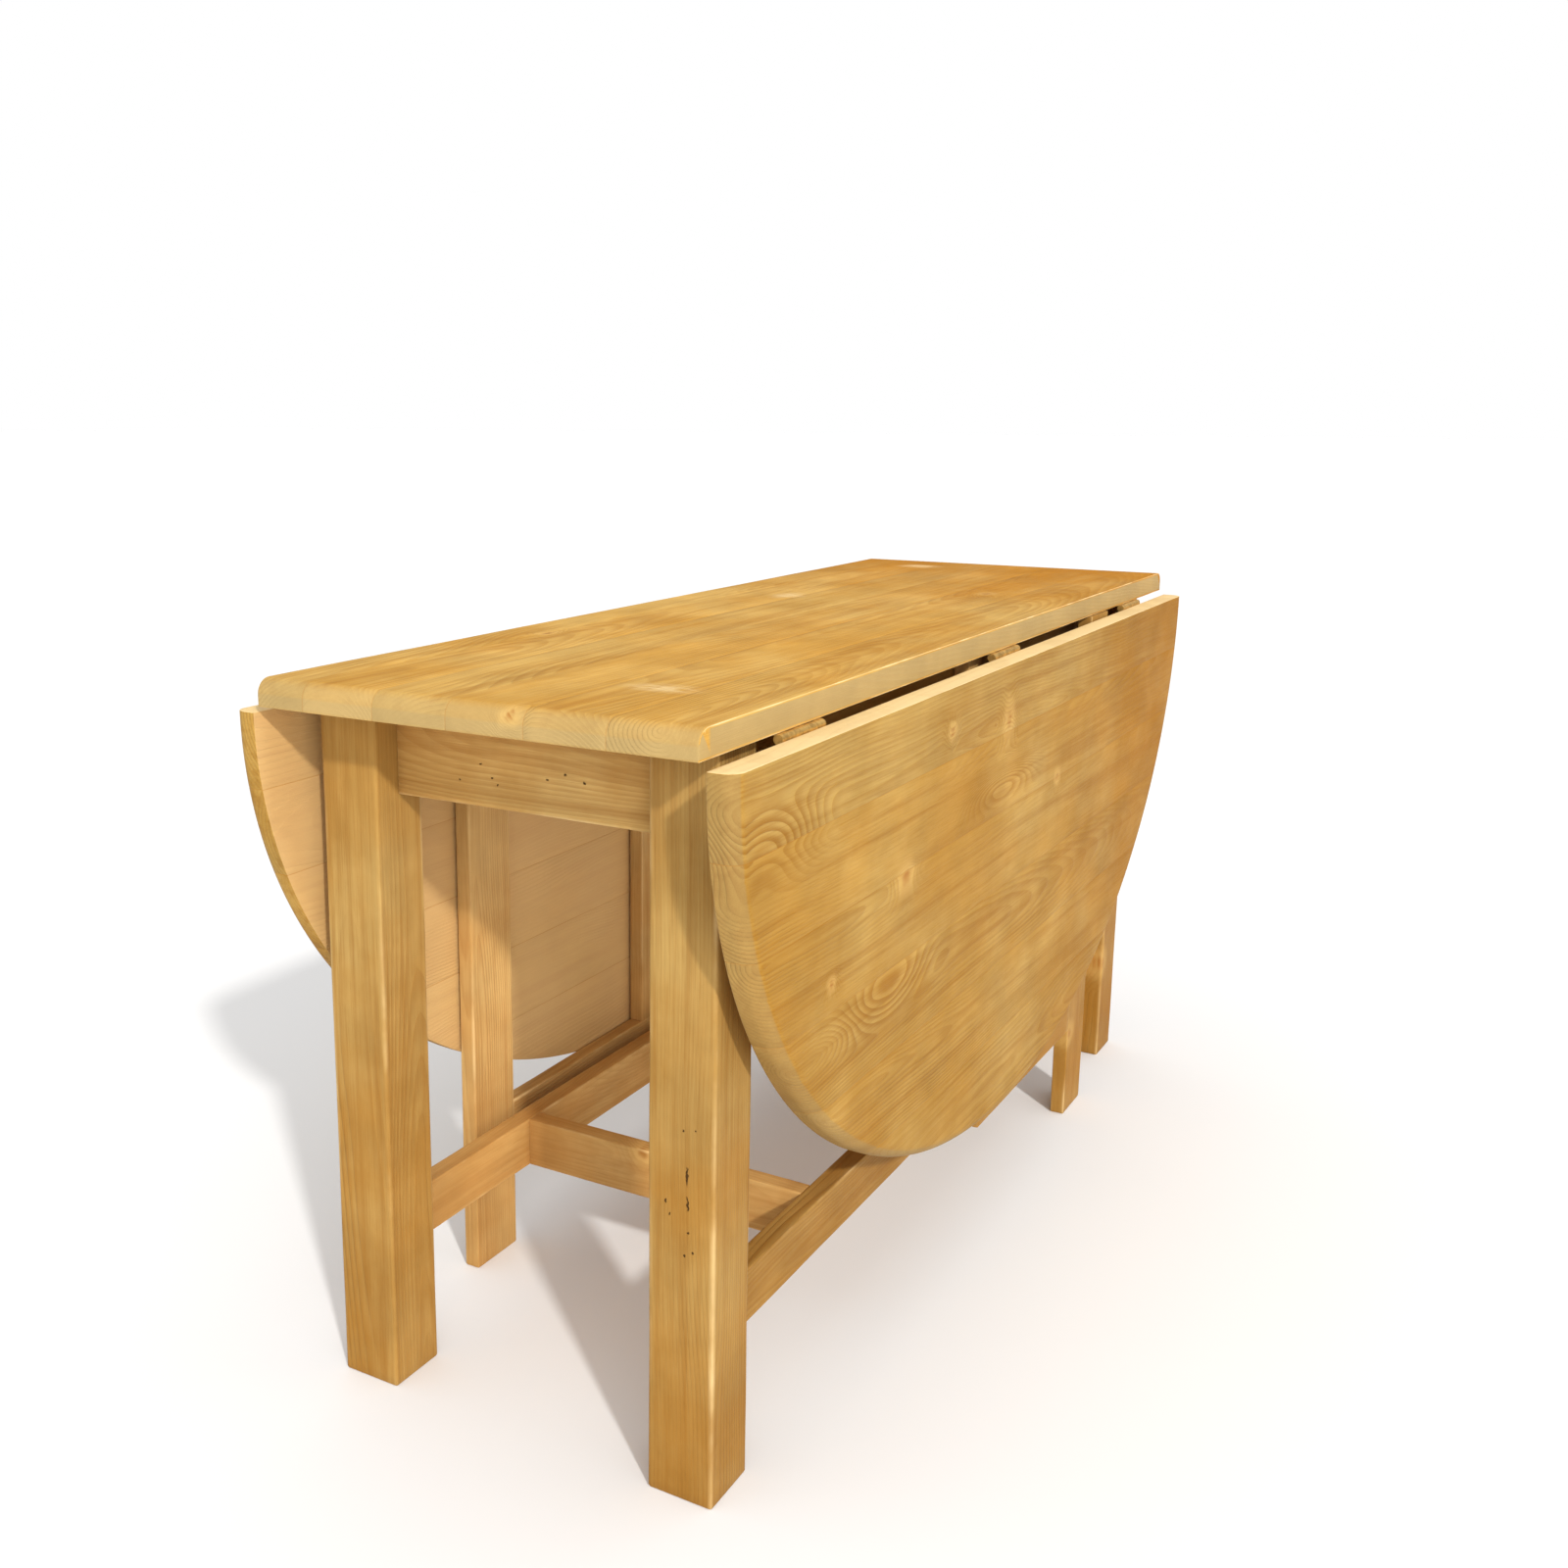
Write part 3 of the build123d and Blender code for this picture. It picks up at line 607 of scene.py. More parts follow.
BOARD_STEP = 12 * MM  # Rings along a board
PANEL_STEP = 30 * MM  # Cuts along a panel
PANEL_ROWS = 24  # Cuts across a panel, besides those beside each seam
HALF_SEAM = 0.7 * MM
ARC_STEPS = 4
ROUND_STEPS = 10
RIM_STEPS = 160

# Waves per metre of the wear along an arris, the planing of a board and that of a panel
CHIP_WAVES = 9.0
PLANING_WAVES = 11.0
PANEL_WAVES = 7.0


def unit(axis):
    """The unit vector along axis 0, 1 or 2."""
    return Vector([1.0 if i == axis else 0.0 for i in range(3)])


def show(name, mesh, material, slot, body, nodes):
    """Makes a mesh a piece of the table."""
    mesh.set_sharp_from_angle(angle=SHARP_ANGLE)
    mesh.materials.clear()
    mesh.materials.append(material)
    piece = bpy.data.objects.new(name, mesh)
    bpy.context.scene.collection.objects.link(piece)
    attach(piece, body)
    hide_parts(*nodes)
    return piece


def mark_grain(mesh, along_axis, across_axis, edges, number):
    """Marks each face with its board's number and its place in the board. `edges` are the boards'
    limits across the panel, in rising order."""
    through_axis = 3 - along_axis - across_axis
    depths = [v.co[through_axis] for v in mesh.vertices]
    middle = (min(depths) + max(depths)) / 2
    board = mesh.attributes.new("board", "FLOAT", "FACE")
    grain = mesh.attributes.new("grain", "FLOAT_VECTOR", "CORNER")
    for face in mesh.polygons:
        index = 0
        while index < len(edges) - 2 and face.center[across_axis] > edges[index + 1]:
            index += 1
        centre = (edges[index] + edges[index + 1]) / 2
        board.data[face.index].value = number + index * PANEL_BOARD_STEP
        for corner in face.loop_indices:
            co = mesh.vertices[mesh.loops[corner].vertex_index].co
            place = (co[along_axis], co[across_axis] - centre, co[through_axis] - middle)
            grain.data[corner].vector = place


def worn(place, scale, seed):
    """Coherent noise from 0 to 1."""
    return min(1.0, max(0.0, 0.5 + 0.6 * noise.noise(Vector(place) * scale + Vector((seed, 0, 0)))))


def mesh_of(name, shape):
    """A smooth-shaded mesh of a finished shape."""
    for face in shape.faces:
        face.smooth = True
    mesh = bpy.data.meshes.new(name)
    shape.to_mesh(mesh)
    shape.free()
    return mesh


def section(half_u, half_v, radius):
    """Points round a rounded rectangle: (u, v, outward u, outward v, wear)."""
    points = []
    near_arc = 2.0 * MM
    for turn in range(4):
        start = turn * math.pi / 2
        centre_u = (half_u - radius) * (1 if turn in (0, 3) else -1)
        centre_v = (half_v - radius) * (1 if turn in (0, 1) else -1)
        for step in range(ARC_STEPS + 1):
            angle = start + step / ARC_STEPS * math.pi / 2
            out_u, out_v = math.cos(angle), math.sin(angle)
            share = 1 - abs(step / ARC_STEPS * 2 - 1) * 0.55
            points.append((centre_u + radius * out_u, centre_v + radius * out_v, out_u, out_v, share))
        flat_u, flat_v = math.cos(start + math.pi / 2), math.sin(start + math.pi / 2)
        run_u, run_v = -abs(flat_v) * flat_v, abs(flat_u) * flat_u
        length = 2 * ((half_u if abs(flat_v) > 0.5 else half_v) - radius)
        first = points[-1]
        for share in (near_arc / length, 0.25, 0.5, 0.75, 1 - near_arc / length):
            step = share * length
            points.append((first[0] + run_u * step, first[1] + run_v * step, flat_u, flat_v, 0.0))
    return points


def board_mesh(name, low, high, axis, arris, ends, ripple, seed):
    """A board along `axis` between two corners, with worn arrises and faces that wander inwards.
    `ends` are how far its low and high ends are rounded."""
    v_axis, u_axis = sorted((i for i in range(3) if i != axis), key=lambda i: high[i] - low[i])
    half_u, half_v = ((high[i] - low[i]) / 2 for i in (u_axis, v_axis))
    centre = (low + high) / 2
    length = high[axis] - low[axis]
    count = max(8, round(length / BOARD_STEP))
    stations = [(0.0, ends[0]), (ends[0] * 0.3, ends[0] * 0.3), (ends[0], 0.0)]
    stations += [(length * i / count, 0.0) for i in range(1, count)]
    stations += [(length - ends[1], 0.0), (length - ends[1] * 0.3, ends[1] * 0.3), (length, ends[1])]
    shape = bmesh.new()
    wear_and_light_layer = shape.verts.layers.float.new("wear_and_painted_light")
    rings = []
    for station, inset in stations:
        chip = worn((station, seed, 0), CHIP_WAVES, seed)
        radius = arris * (0.65 + 0.7 * chip)
        made = []
        for u, v, out_u, out_v, share in section(half_u - inset, half_v - inset, radius):
            dip = ripple * worn((station, u, v), PLANING_WAVES, seed + 3)
            place = Vector((0, 0, 0))
            place[axis] = low[axis] + station
            place[u_axis] = centre[u_axis] + u - out_u * dip
            place[v_axis] = centre[v_axis] + v - out_v * dip
            vert = shape.verts.new(place)
            vert[wear_and_light_layer] = share * (0.35 + 0.9 * chip)
            made.append(vert)
        rings.append(made)
    around = len(rings[0])
    for first, second in zip(rings, rings[1:]):
        for i in range(around):
            shape.faces.new((first[i], first[(i + 1) % around], second[(i + 1) % around], second[i]))
    shape.faces.new(reversed(rings[0]))
    shape.faces.new(rings[-1])
    bmesh.ops.recalc_face_normals(shape, faces=shape.faces)
    mesh = mesh_of(name, shape)
    mark_grain(mesh, axis, u_axis, (centre[u_axis] - half_u, centre[u_axis] + half_u), seed)
    return mesh


def soften(shape, width):
    """Rounds the edges where two faces meet squarely."""
    square = [e for e in shape.edges if len(e.link_faces) == 2 and e.calc_face_angle(0) > SQUARE_ANGLE]
    bmesh.ops.bevel(
        shape, geom=square, offset=width, segments=2, affect="EDGES", profile=0.5, clamp_overlap=True
    )


def cut_across(shape, axis, places):
    """Cuts a shape by planes square to an axis."""
    for place in places:
        bmesh.ops.bisect_plane(
            shape,
            geom=shape.verts[:] + shape.edges[:] + shape.faces[:],
            plane_co=unit(axis) * place,
            plane_no=unit(axis),
            dist=TOUCHING,
        )


def glued_panel(name, shape, across_axis, edges, boards, seed, rubbed_and_painted_light):
    """Turns the plain shape of a panel into glued boards along X: seams between them, faces that
    wander, and wear and painted light from `rubbed_and_painted_light`, which gives them for a place and a
    normal."""
    low, high = edges[0], edges[-1]
    soften(shape, boards.panel_arris)
    reach = max(abs(v.co.x) for v in shape.verts)
    last = int(reach / PANEL_STEP)
    cut_across(shape, 0, [PANEL_STEP * i for i in range(-last, last + 1)])
    rows = [low + (high - low) * i / PANEL_ROWS for i in range(1, PANEL_ROWS)]
    seams = edges[1:-1]
    rows = [r for r in rows if all(abs(r - s) > 4 * HALF_SEAM for s in seams)]
    rows += [s + shift for s in seams for shift in (-HALF_SEAM, 0, HALF_SEAM)]
    support = 3 * boards.panel_arris
    rows += [low + support, high - support]
    cut_across(shape, across_axis, sorted(rows))
    through_axis = 3 - across_axis
    depths = [v.co[through_axis] for v in shape.verts]
    cut_across(shape, through_axis, [min(depths) + support, max(depths) - support])
    bmesh.ops.recalc_face_normals(shape, faces=shape.faces)
    shape.normal_update()
    wear_and_light_layer = shape.verts.layers.float.new("wear_and_painted_light")
    seam_layer = shape.verts.layers.float.new("seam")
    moves = []
    for vert in shape.verts:
        on_seam = any(abs(vert.co[across_axis] - s) < HALF_SEAM / 3 for s in seams)
        depth = boards.ripple * worn(vert.co, PANEL_WAVES, seed) + (boards.seam_depth if on_seam else 0)
        vert[wear_and_light_layer] = rubbed_and_painted_light(vert.co, vert.normal)
        vert[seam_layer] = float(on_seam)
        moves.append((vert, vert.normal * -depth))
    for vert, move in moves:
        vert.co += move
    mesh = mesh_of(name, shape)
    mark_grain(mesh, 0, across_axis, edges, seed)
    return mesh


def quarter_round(radius):
    """(inset, height) pairs up a quarter-round, from its foot to its top."""
    angles = [math.pi / 2 * i / ROUND_STEPS for i in range(ROUND_STEPS + 1)]
    return [(radius * (1 - math.cos(a)), radius * math.sin(a)) for a in angles]


def top_shape(low, high, radius):
    """The top: a profile in XZ with a quarter-round at each end, drawn out along Y."""
    rise = [(inset, high.z - radius + height) for inset, height in quarter_round(radius)]
    right = [(high.x - inset, z) for inset, z in rise]
    left = [(low.x + inset, z) for inset, z in reversed(rise)]
    profile = [(low.x, low.z), (high.x, low.z)] + right + left
    shape = bmesh.new()
    near = [shape.verts.new((x, low.y, z)) for x, z in profile]
    far = [shape.verts.new((x, high.y, z)) for x, z in profile]
    count = len(profile)
    for i in range(count):
        shape.faces.new((near[i], near[(i + 1) % count], far[(i + 1) % count], far[i]))
    shape.faces.new(near)
    shape.faces.new(reversed(far))
    bmesh.ops.recalc_face_normals(shape, faces=shape.faces)
    return shape


def leaf_shape(low, high, side, radius):
    """A hanging leaf: half an ellipse below its hinge edge, with a quarter-round on the outer side
    of its rim."""
    half_length = (high.x - low.x) / 2
    depth = high.z - low.z
    thickness = high.y - low.y
    inner_y = low.y if side > 0 else high.y
    profile = [(0.0, 0.0)] + [(i, thickness - radius + h) for i, h in quarter_round(radius)]
    shape = bmesh.new()
    columns = []
    for step in range(RIM_STEPS + 1):
        angle = math.pi * step / RIM_STEPS
        outward = Vector((math.cos(angle) / half_length, math.sin(angle) / depth)).normalized()
        if step in (0, RIM_STEPS):
            outward = Vector((1.0 if step == 0 else -1.0, 0.0))
        rim = Vector((half_length * math.cos(angle), depth * abs(math.sin(angle))))
        column = []
        for inset, height in profile:
            point = rim - outward * inset
            column.append(shape.verts.new((point.x, inner_y + side * height, high.z - max(0.0, point.y))))
        columns.append(column)
    for first, second in zip(columns, columns[1:]):
        for i in range(len(profile) - 1):
            shape.faces.new((first[i], first[i + 1], second[i + 1], second[i]))
    shape.faces.new([c[0] for c in columns])
    shape.faces.new([c[-1] for c in reversed(columns)])
    shape.faces.new(columns[0] + columns[-1][::-1])
    bmesh.ops.recalc_face_normals(shape, faces=shape.faces)
    return shape


def islands(node):
    """The separate solids of a CAD node, each as its corners' places."""
    shape = bmesh.new()
    shape.from_mesh(frame["nodes"][node].data)
    bmesh.ops.remove_doubles(shape, verts=shape.verts, dist=TOUCHING)
    left = set(shape.verts)
    groups = []
    while left:
        group, edge = [], [left.pop()]
        while edge:
            vert = edge.pop()
            group.append(vert.co.copy())
            for link in vert.link_edges:
                other = link.other_vert(vert)
                if other in left:
                    left.remove(other)
                    edge.append(other)
        groups.append(group)
    shape.free()
    return sorted(groups, key=lambda g: tuple(round(c, 5) for c in g[0]))


# ---- Screws, by geometry nodes ----


def screw_tree():
    """Countersunk slotted screws, one at each point, with their heads towards `facing`."""
    tree = bpy.data.node_groups.new("slotted screws", "GeometryNodeTree")
    for name, kind in (
        ("Geometry", "Geometry"),
        ("Head Radius", "Float"),
        ("Shank Radius", "Float"),
        ("Length", "Float"),
        ("Slot Width", "Float"),
        ("Slot Depth", "Float"),
        ("Seed", "Int"),
        ("Material", "Material"),
    ):
        tree.interface.new_socket(name, in_out="INPUT", socket_type="NodeSocket" + kind)
    tree.interface.new_socket("Geometry", in_out="OUTPUT", socket_type="NodeSocketGeometry")
    net = Net(tree)
    given = net.node("NodeGroupInput").outputs
    head_radius, shank_radius, length = (given[n] for n in ("Head Radius", "Shank Radius", "Length"))

    def moved(shape, z):
        place = net.node("ShaderNodeCombineXYZ", {2: z}).outputs[0]
        return net.node("GeometryNodeTransform", {"Geometry": shape, "Translation": place}).outputs[0]

    # Head: a cone from the shank's radius up to the head's, with the slot cut across it
    head_height = net.minus(head_radius, shank_radius)
    cone = {"Vertices": 28, "Side Segments": 2, "Depth": head_height}
    cone |= {"Radius Top": head_radius, "Radius Bottom": shank_radius}
    head = moved(net.node("GeometryNodeMeshCone", cone).outputs["Mesh"], net.times(head_height, -1.0))
    slot = {0: net.times(head_radius, 2.4), 1: given["Slot Width"], 2: net.times(given["Slot Depth"], 2.0)}
    slot_size = net.node("ShaderNodeCombineXYZ", slot).outputs[0]
    cutter = net.node("GeometryNodeMeshCube", {"Size": slot_size}).outputs["Mesh"]
    cut = net.node("GeometryNodeMeshBoolean", {"Mesh 1": head}, operation="DIFFERENCE", solver="EXACT")
    net.feed(cut.inputs["Mesh 2"], cutter)

    rod = {"Vertices": 14, "Radius": shank_radius, "Depth": length}
    shank = net.node("GeometryNodeMeshCylinder", rod).outputs["Mesh"]
    shank = moved(shank, net.minus(net.times(length, -0.5), head_height))
    joined = net.node("GeometryNodeJoinGeometry")
    net.feed(joined.inputs[0], cut.outputs["Mesh"])
    net.feed(joined.inputs[0], shank)

    # Each screw is turned to its facing, then about itself by chance
    facing = net.node("GeometryNodeInputNamedAttribute", {"Name": "facing"}, data_type="FLOAT_VECTOR")
    turned = net.node("FunctionNodeAlignRotationToVector", {"Vector": facing.outputs[0]}, axis="Z")
    spin = net.node("FunctionNodeRandomValue", {"Seed": given["Seed"], 3: math.pi}, data_type="FLOAT")
    about = net.node("FunctionNodeAxisAngleToRotation", {"Axis": (0, 0, 1), "Angle": spin.outputs[1]})
    both = {0: turned.outputs[0], 1: about.outputs[0]}
    final = net.node("FunctionNodeRotateRotation", both, rotation_space="LOCAL")
    screws = {"Points": given["Geometry"], "Instance": joined.outputs[0], "Rotation": final.outputs[0]}
    placed = net.node("GeometryNodeInstanceOnPoints", screws)
    real = net.node("GeometryNodeRealizeInstances", {"Geometry": placed.outputs[0]})
    finish = {"Geometry": real.outputs[0], "Material": given["Material"]}
    net.node("NodeGroupOutput", {0: net.node("GeometryNodeSetMaterial", finish).outputs[0]})
    return tree


def screw_sizes(group):
    """A screw's head centre, direction of its head, head radius, shank radius and length, read
    from the corners of its CAD solid."""
    low = Vector([min(p[i] for p in group) for i in range(3)])
    high = Vector([max(p[i] for p in group) for i in range(3)])
    axis = max(range(3), key=lambda i: high[i] - low[i])
    middle = (low + high) / 2
    spread = {}
    for end, sign in ((low[axis], -1), (high[axis], 1)):
        rim = [p for p in group if abs(p[axis] - end) < 1e-5]
        radii = (math.hypot(*[(p - middle)[i] for i in range(3) if i != axis]) for p in rim)
        spread[sign] = max(radii, default=0)
    sign = max(spread, key=spread.get)
    centre = middle.copy()
    centre[axis] = high[axis] if sign > 0 else low[axis]
    return centre, unit(axis) * sign, spread[sign], spread[-sign], high[axis] - low[axis]


def build_screws(tree, node, body, slot, material, metal, seed):
    """Replaces a CAD group of screws with slotted ones."""
    sizes = [screw_sizes(group) for group in islands(node)]
    mesh = bpy.data.meshes.new(node + "_points")
    mesh.from_pydata([tuple(s[0]) for s in sizes], [], [])
    facing = mesh.attributes.new("facing", "FLOAT_VECTOR", "POINT")
    for index, s in enumerate(sizes):
        facing.data[index].vector = s[1]
    points = bpy.data.objects.new(node + "_points", mesh)
    bpy.context.scene.collection.objects.link(points)
    modifier = points.modifiers.new("screws", "NODES")
    modifier.node_group = tree
    _, _, head_radius, shank_radius, length = sizes[0]
    head_height = head_radius - shank_radius
    inputs = {
        "Head Radius": head_radius,
        "Shank Radius": shank_radius,
        "Length": length - head_height,
        "Slot Width": metal.slot_width,
        "Slot Depth": metal.slot_depth,
        "Seed": seed,
        "Material": material,
    }
    for item in tree.interface.items_tree:
        if item.in_out == "INPUT" and item.name in inputs:
            modifier[item.identifier] = inputs[item.name]
    seen = points.evaluated_get(bpy.context.evaluated_depsgraph_get())
    made = bpy.data.meshes.new_from_object(seen)
    bpy.data.objects.remove(points)
    if not made.polygons:
        raise RuntimeError(f"no screws were made for {node}")
    made.name = node + "_slotted"
    return show(node + "_slotted", made, material, slot, body, [node])


# ---- Operators ----


def shoulders(node, axis, *neighbours):
    """A node's box, cut back along an axis to the faces of the pieces that its tenons enter."""
    low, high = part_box(node)
    middle = (low[axis] + high[axis]) / 2
    for neighbour in neighbours:
        near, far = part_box(neighbour)
        if (near[axis] + far[axis]) / 2 < middle:
            low[axis] = far[axis]
        else:
            high[axis] = near[axis]
    return low, high


def face_marks(axis, face, reach, rows):
    """Marks on a face square to `axis`, as pairs of a centre and half-sizes. They reach `reach` into
    the wood. A row is a mark's place along the face's two axes, then its half-sizes along them."""
    marks = []
    for row in rows:
        centre, size = list(row[:2]), list(row[2:])
        centre.insert(axis, face)
        size.insert(axis, reach)
        marks.append((centre, size))
    return marks


class GATELEG_OT_finishes(bpy.types.Operator):
    """Makes the pine, brass and steel finishes"""

    bl_idname = "gateleg.finishes"
    bl_label = "Finishes"

    def execute(self, context):
        pine = context.scene.gateleg_pine
        metal = context.scene.gateleg_metal
        leg_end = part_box("front_left_leg")[0].x
        apron_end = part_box("left_end_apron")[0].x
        leaf_low, leaf_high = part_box("front_leaf")
        leaf_back = leaf_high.y
        top_low, top_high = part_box("top_panel")
        end_knot = (-0.053, top_high.z - 8 * MM, 6 * MM, 6 * MM)
        top_knots = face_marks(0, top_low.x + 2 * MM, 16 * MM, [end_knot])
        top_knots += face_marks(2, top_high.z, THROUGH_REACH, TOP_KNOTS)

        # Tone carries painted light: this plain copy (0.84) is paler than the legs' copy (0.6), as painted
        # fill light on the pieces inside and at the back that lie in shade
        pine_material("waxed pine", pine, tone=0.84, warmth=0.94, knots=FRAME_KNOTS)
        pine_material("waxed pine legs", pine, tone=0.6, knots=FRAME_KNOTS)
        pine_material("waxed pine blocks", pine, marked=False)
        pine_material(
            "waxed pine top",
            pine,
            tone=0.88,
            warmth=1.06,
            far_amber=0.75,
            knots=top_knots,
            scuffs_and_reflections=face_marks(2, top_high.z, MARK_REACH, TOP_SCUFFS_AND_REFLECTIONS),
        )
        # The top's tone (0.88) against the leaves' (0.61) is painted light: the top is painted lighter and
        # the hanging leaves darker to match how the light falls on them
        pine_material(
            "waxed pine front leaf",
            pine,
            tone=0.61,
            warmth=1.05,
            foot_wax=0.0,
            far_amber=0.8,
            raw_and_painted_fill=(leaf_back - MM, leaf_back),
            knots=face_marks(1, leaf_low.y, THROUGH_REACH, LEAF_KNOTS),
            swirls=face_marks(1, leaf_low.y, THROUGH_REACH, LEAF_SWIRLS),
        )
        pine_material(
            "waxed pine rear leaf",
            pine,
            tone=0.61,
            warmth=1.05,
            foot_wax=0.1,
            raw_and_painted_fill=(MM - leaf_back, -leaf_back),
        )
        rows = [(y, z, HOLE_HALF_WIDTH, half_height) for y, z, half_height in LEG_HOLES]
        leg_holes = face_marks(0, leg_end, MARK_REACH, rows)
        pine_material("waxed pine near leg", pine, tone=0.6, holes=leg_holes)
        apron_holes = face_marks(0, apron_end, MARK_REACH, [place + APRON_HOLE for place in APRON_HOLES])
        pine_material("waxed pine near apron", pine, tone=0.76, warmth=0.97, holes=apron_holes)
        metal_material("aged brass", metal.brass, metal.tarnish, 0.3)
        metal_material("dulled steel", metal.steel, metal.tarnish, 0.4)
        return {"FINISHED"}


class GATELEG_OT_top(bpy.types.Operator):
    """Builds the glued top with its rounded ends"""

    bl_idname = "gateleg.top"
    bl_label = "Top"

    def execute(self, context):
        boards = context.scene.gateleg_boards
        low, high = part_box("top_panel")
        edges = [low.y, *TOP_SEAMS, high.y]

        def rubbed_and_painted_light(place, normal):
            at_end = max(0.0, abs(place.x) - (high.x - boards.rim_round))
            # Above 1 on the long arrises: pale bare wood, partly wear and partly a painted highlight where
            # the arris catches the light
            on_arris = 0.15 < abs(normal.z) < 0.95 and abs(normal.y) > 0.2
            # Upright faces and the rounded ends get painted shade, a dull darker colour below 0
            upright = -1.0 if abs(normal.z) < 0.15 else 0.0
            rounded = -0.8 * min(1.0, at_end / 0.012)
            return 1.45 if on_arris else min(upright, rounded)

        shape = top_shape(low, high, boards.rim_round)
        mesh = glued_panel("top_boards", shape, 1, edges, boards, TOP_BOARD, rubbed_and_painted_light)
        material = bpy.data.materials["waxed pine top"]
        show("top_boards", mesh, material, "pine_top", "frame", ["top_panel"])
        return {"FINISHED"}


class GATELEG_OT_leaves(bpy.types.Operator):
    """Builds the two half-elliptical leaves"""

    bl_idname = "gateleg.leaves"
    bl_label = "Leaves"

    def execute(self, context):
        boards = context.scene.gateleg_boards
        for side in SIDES:
            low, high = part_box(f"{side}_leaf")
            edges = [low.z, *LEAF_SEAMS, high.z]

            def rubbed_and_painted_light(place, normal):
                # The hinge edge faces up to the light: it gets a painted highlight, pale bare wood at 1.8
                if place.z > high.z - 0.3 * MM:
                    return 1.8
                # The front leaf's rim gets painted shade, a dull darker colour below 0
                return -0.5 if side == "front" and abs(normal.y) < 0.9 else 0.0

            shape = leaf_shape(low, high, SIDE_SIGN[side], boards.rim_round)
            number = FRONT_LEAF_BOARD + NEXT_LEAF_STEP * SIDES.index(side)
            name = f"{side}_leaf_boards"
            mesh = glued_panel(name, shape, 2, edges, boards, number, rubbed_and_painted_light)
            material = bpy.data.materials[f"waxed pine {side} leaf"]
            show(name, mesh, material, "pine_leaf", BODY_OF_LEAF[side], [f"{side}_leaf"])
        return {"FINISHED"}


def build_board(node, axis, box, arris, ends, boards, material="waxed pine", body="frame"):
    """Replaces a CAD board with a worn one."""
    low, high = box
    seed = FIRST_FRAME_BOARD + FRAME_BOARD_STEP * sorted(frame["nodes"]).index(node)
    mesh = board_mesh(node + "_board", low, high, axis, arris, ends, boards.ripple, seed)
    return show(node + "_board", mesh, bpy.data.materials[material], "pine_frame", body, [node])


class GATELEG_OT_frame(bpy.types.Operator):
    """Builds the corner legs, aprons, stretchers and hinge posts"""

    bl_idname = "gateleg.frame"
    bl_label = "Frame"

    def execute(self, context):
        boards = context.scene.gateleg_boards
        foot = (boards.foot_round, boards.shoulder_round)
        butt = (boards.shoulder_round, boards.shoulder_round)
        for side in SIDES:
            for end in ENDS:
                node = f"{side}_{end}_leg"
                material = "waxed pine near leg" if node == "front_left_leg" else "waxed pine legs"
                build_board(node, 2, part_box(node), boards.arris, foot, boards, material)
            legs = (f"{side}_left_leg", f"{side}_right_leg")
            # The rear pieces take the paler copy, as painted fill light where they lie in shade
            material = "waxed pine legs" if side == "front" else "waxed pine"
            for node in (f"{side}_apron", f"{side}_stretcher"):
                build_board(node, 0, shoulders(node, 0, *legs), boards.rail_arris, butt, boards, material)
            post = f"{side}_hinge_post"
            build_board(post, 2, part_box(post), boards.rail_arris, butt, boards)
        for end in ENDS:
            legs = (f"front_{end}_leg", f"rear_{end}_leg")
            node = f"{end}_end_apron"
            material = "waxed pine near apron" if end == "left" else "waxed pine legs"
            build_board(node, 1, shoulders(node, 1, *legs), boards.rail_arris, butt, boards, material)
            node = f"{end}_cross_stretcher"
            box = shoulders(node, 1, "front_stretcher", "rear_stretcher")
            build_board(node, 1, box, boards.rail_arris, butt, boards)
        return {"FINISHED"}


class GATELEG_OT_gates(bpy.types.Operator):
    """Builds the two gates"""

    bl_idname = "gateleg.gates"
    bl_label = "Gates"

    def execute(self, context):
        boards = context.scene.gateleg_boards
        butt = (boards.shoulder_round, boards.shoulder_round)
        foot = (boards.foot_round, boards.shoulder_round)
        for side in SIDES:
            leg, stile = f"{side}_gate_leg", f"{side}_gate_stile"
            upper, lower = f"{side}_gate_upper_rail", f"{side}_gate_lower_rail"
            # The rear gate takes the paler copy, as painted fill light where it lies in shade
            material = "waxed pine legs" if side == "front" else "waxed pine"
            for node, axis, box, ends in (
                (leg, 2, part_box(leg), foot),
                (stile, 2, shoulders(stile, 2, lower), butt),
                (upper, 0, shoulders(upper, 0, leg, stile), butt),
                (lower, 0, shoulders(lower, 0, leg), butt),
            ):
                build_board(node, axis, box, boards.rail_arris, ends, boards, material)
        return {"FINISHED"}


class GATELEG_OT_blocks(bpy.types.Operator):
    """Builds the leaf stops and finishes the buttons and corner blocks"""

    bl_idname = "gateleg.blocks"
    bl_label = "Blocks"

    def execute(self, context):
        boards = context.scene.gateleg_boards
        butt = (boards.rail_arris, boards.rail_arris)
        for side in SIDES:
            node = f"{side}_leaf_stop"
            build_board(node, 2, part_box(node), boards.rail_arris, butt, boards, body=BODY_OF_LEAF[side])
        for node in ("top_buttons", "corner_blocks"):
            frame["nodes"][node].data.materials[0] = bpy.data.materials["waxed pine blocks"]
        return {"FINISHED"}


class GATELEG_OT_hinges(bpy.types.Operator):
    """Finishes the brass hinges"""

    bl_idname = "gateleg.hinges"
    bl_label = "Hinges"

    def execute(self, context):
        brass = bpy.data.materials["aged brass"]
        for name, node in frame["nodes"].items():
            if name.endswith(("_flap", "_flaps", "_pins")):
                node.data.materials[0] = brass
        return {"FINISHED"}


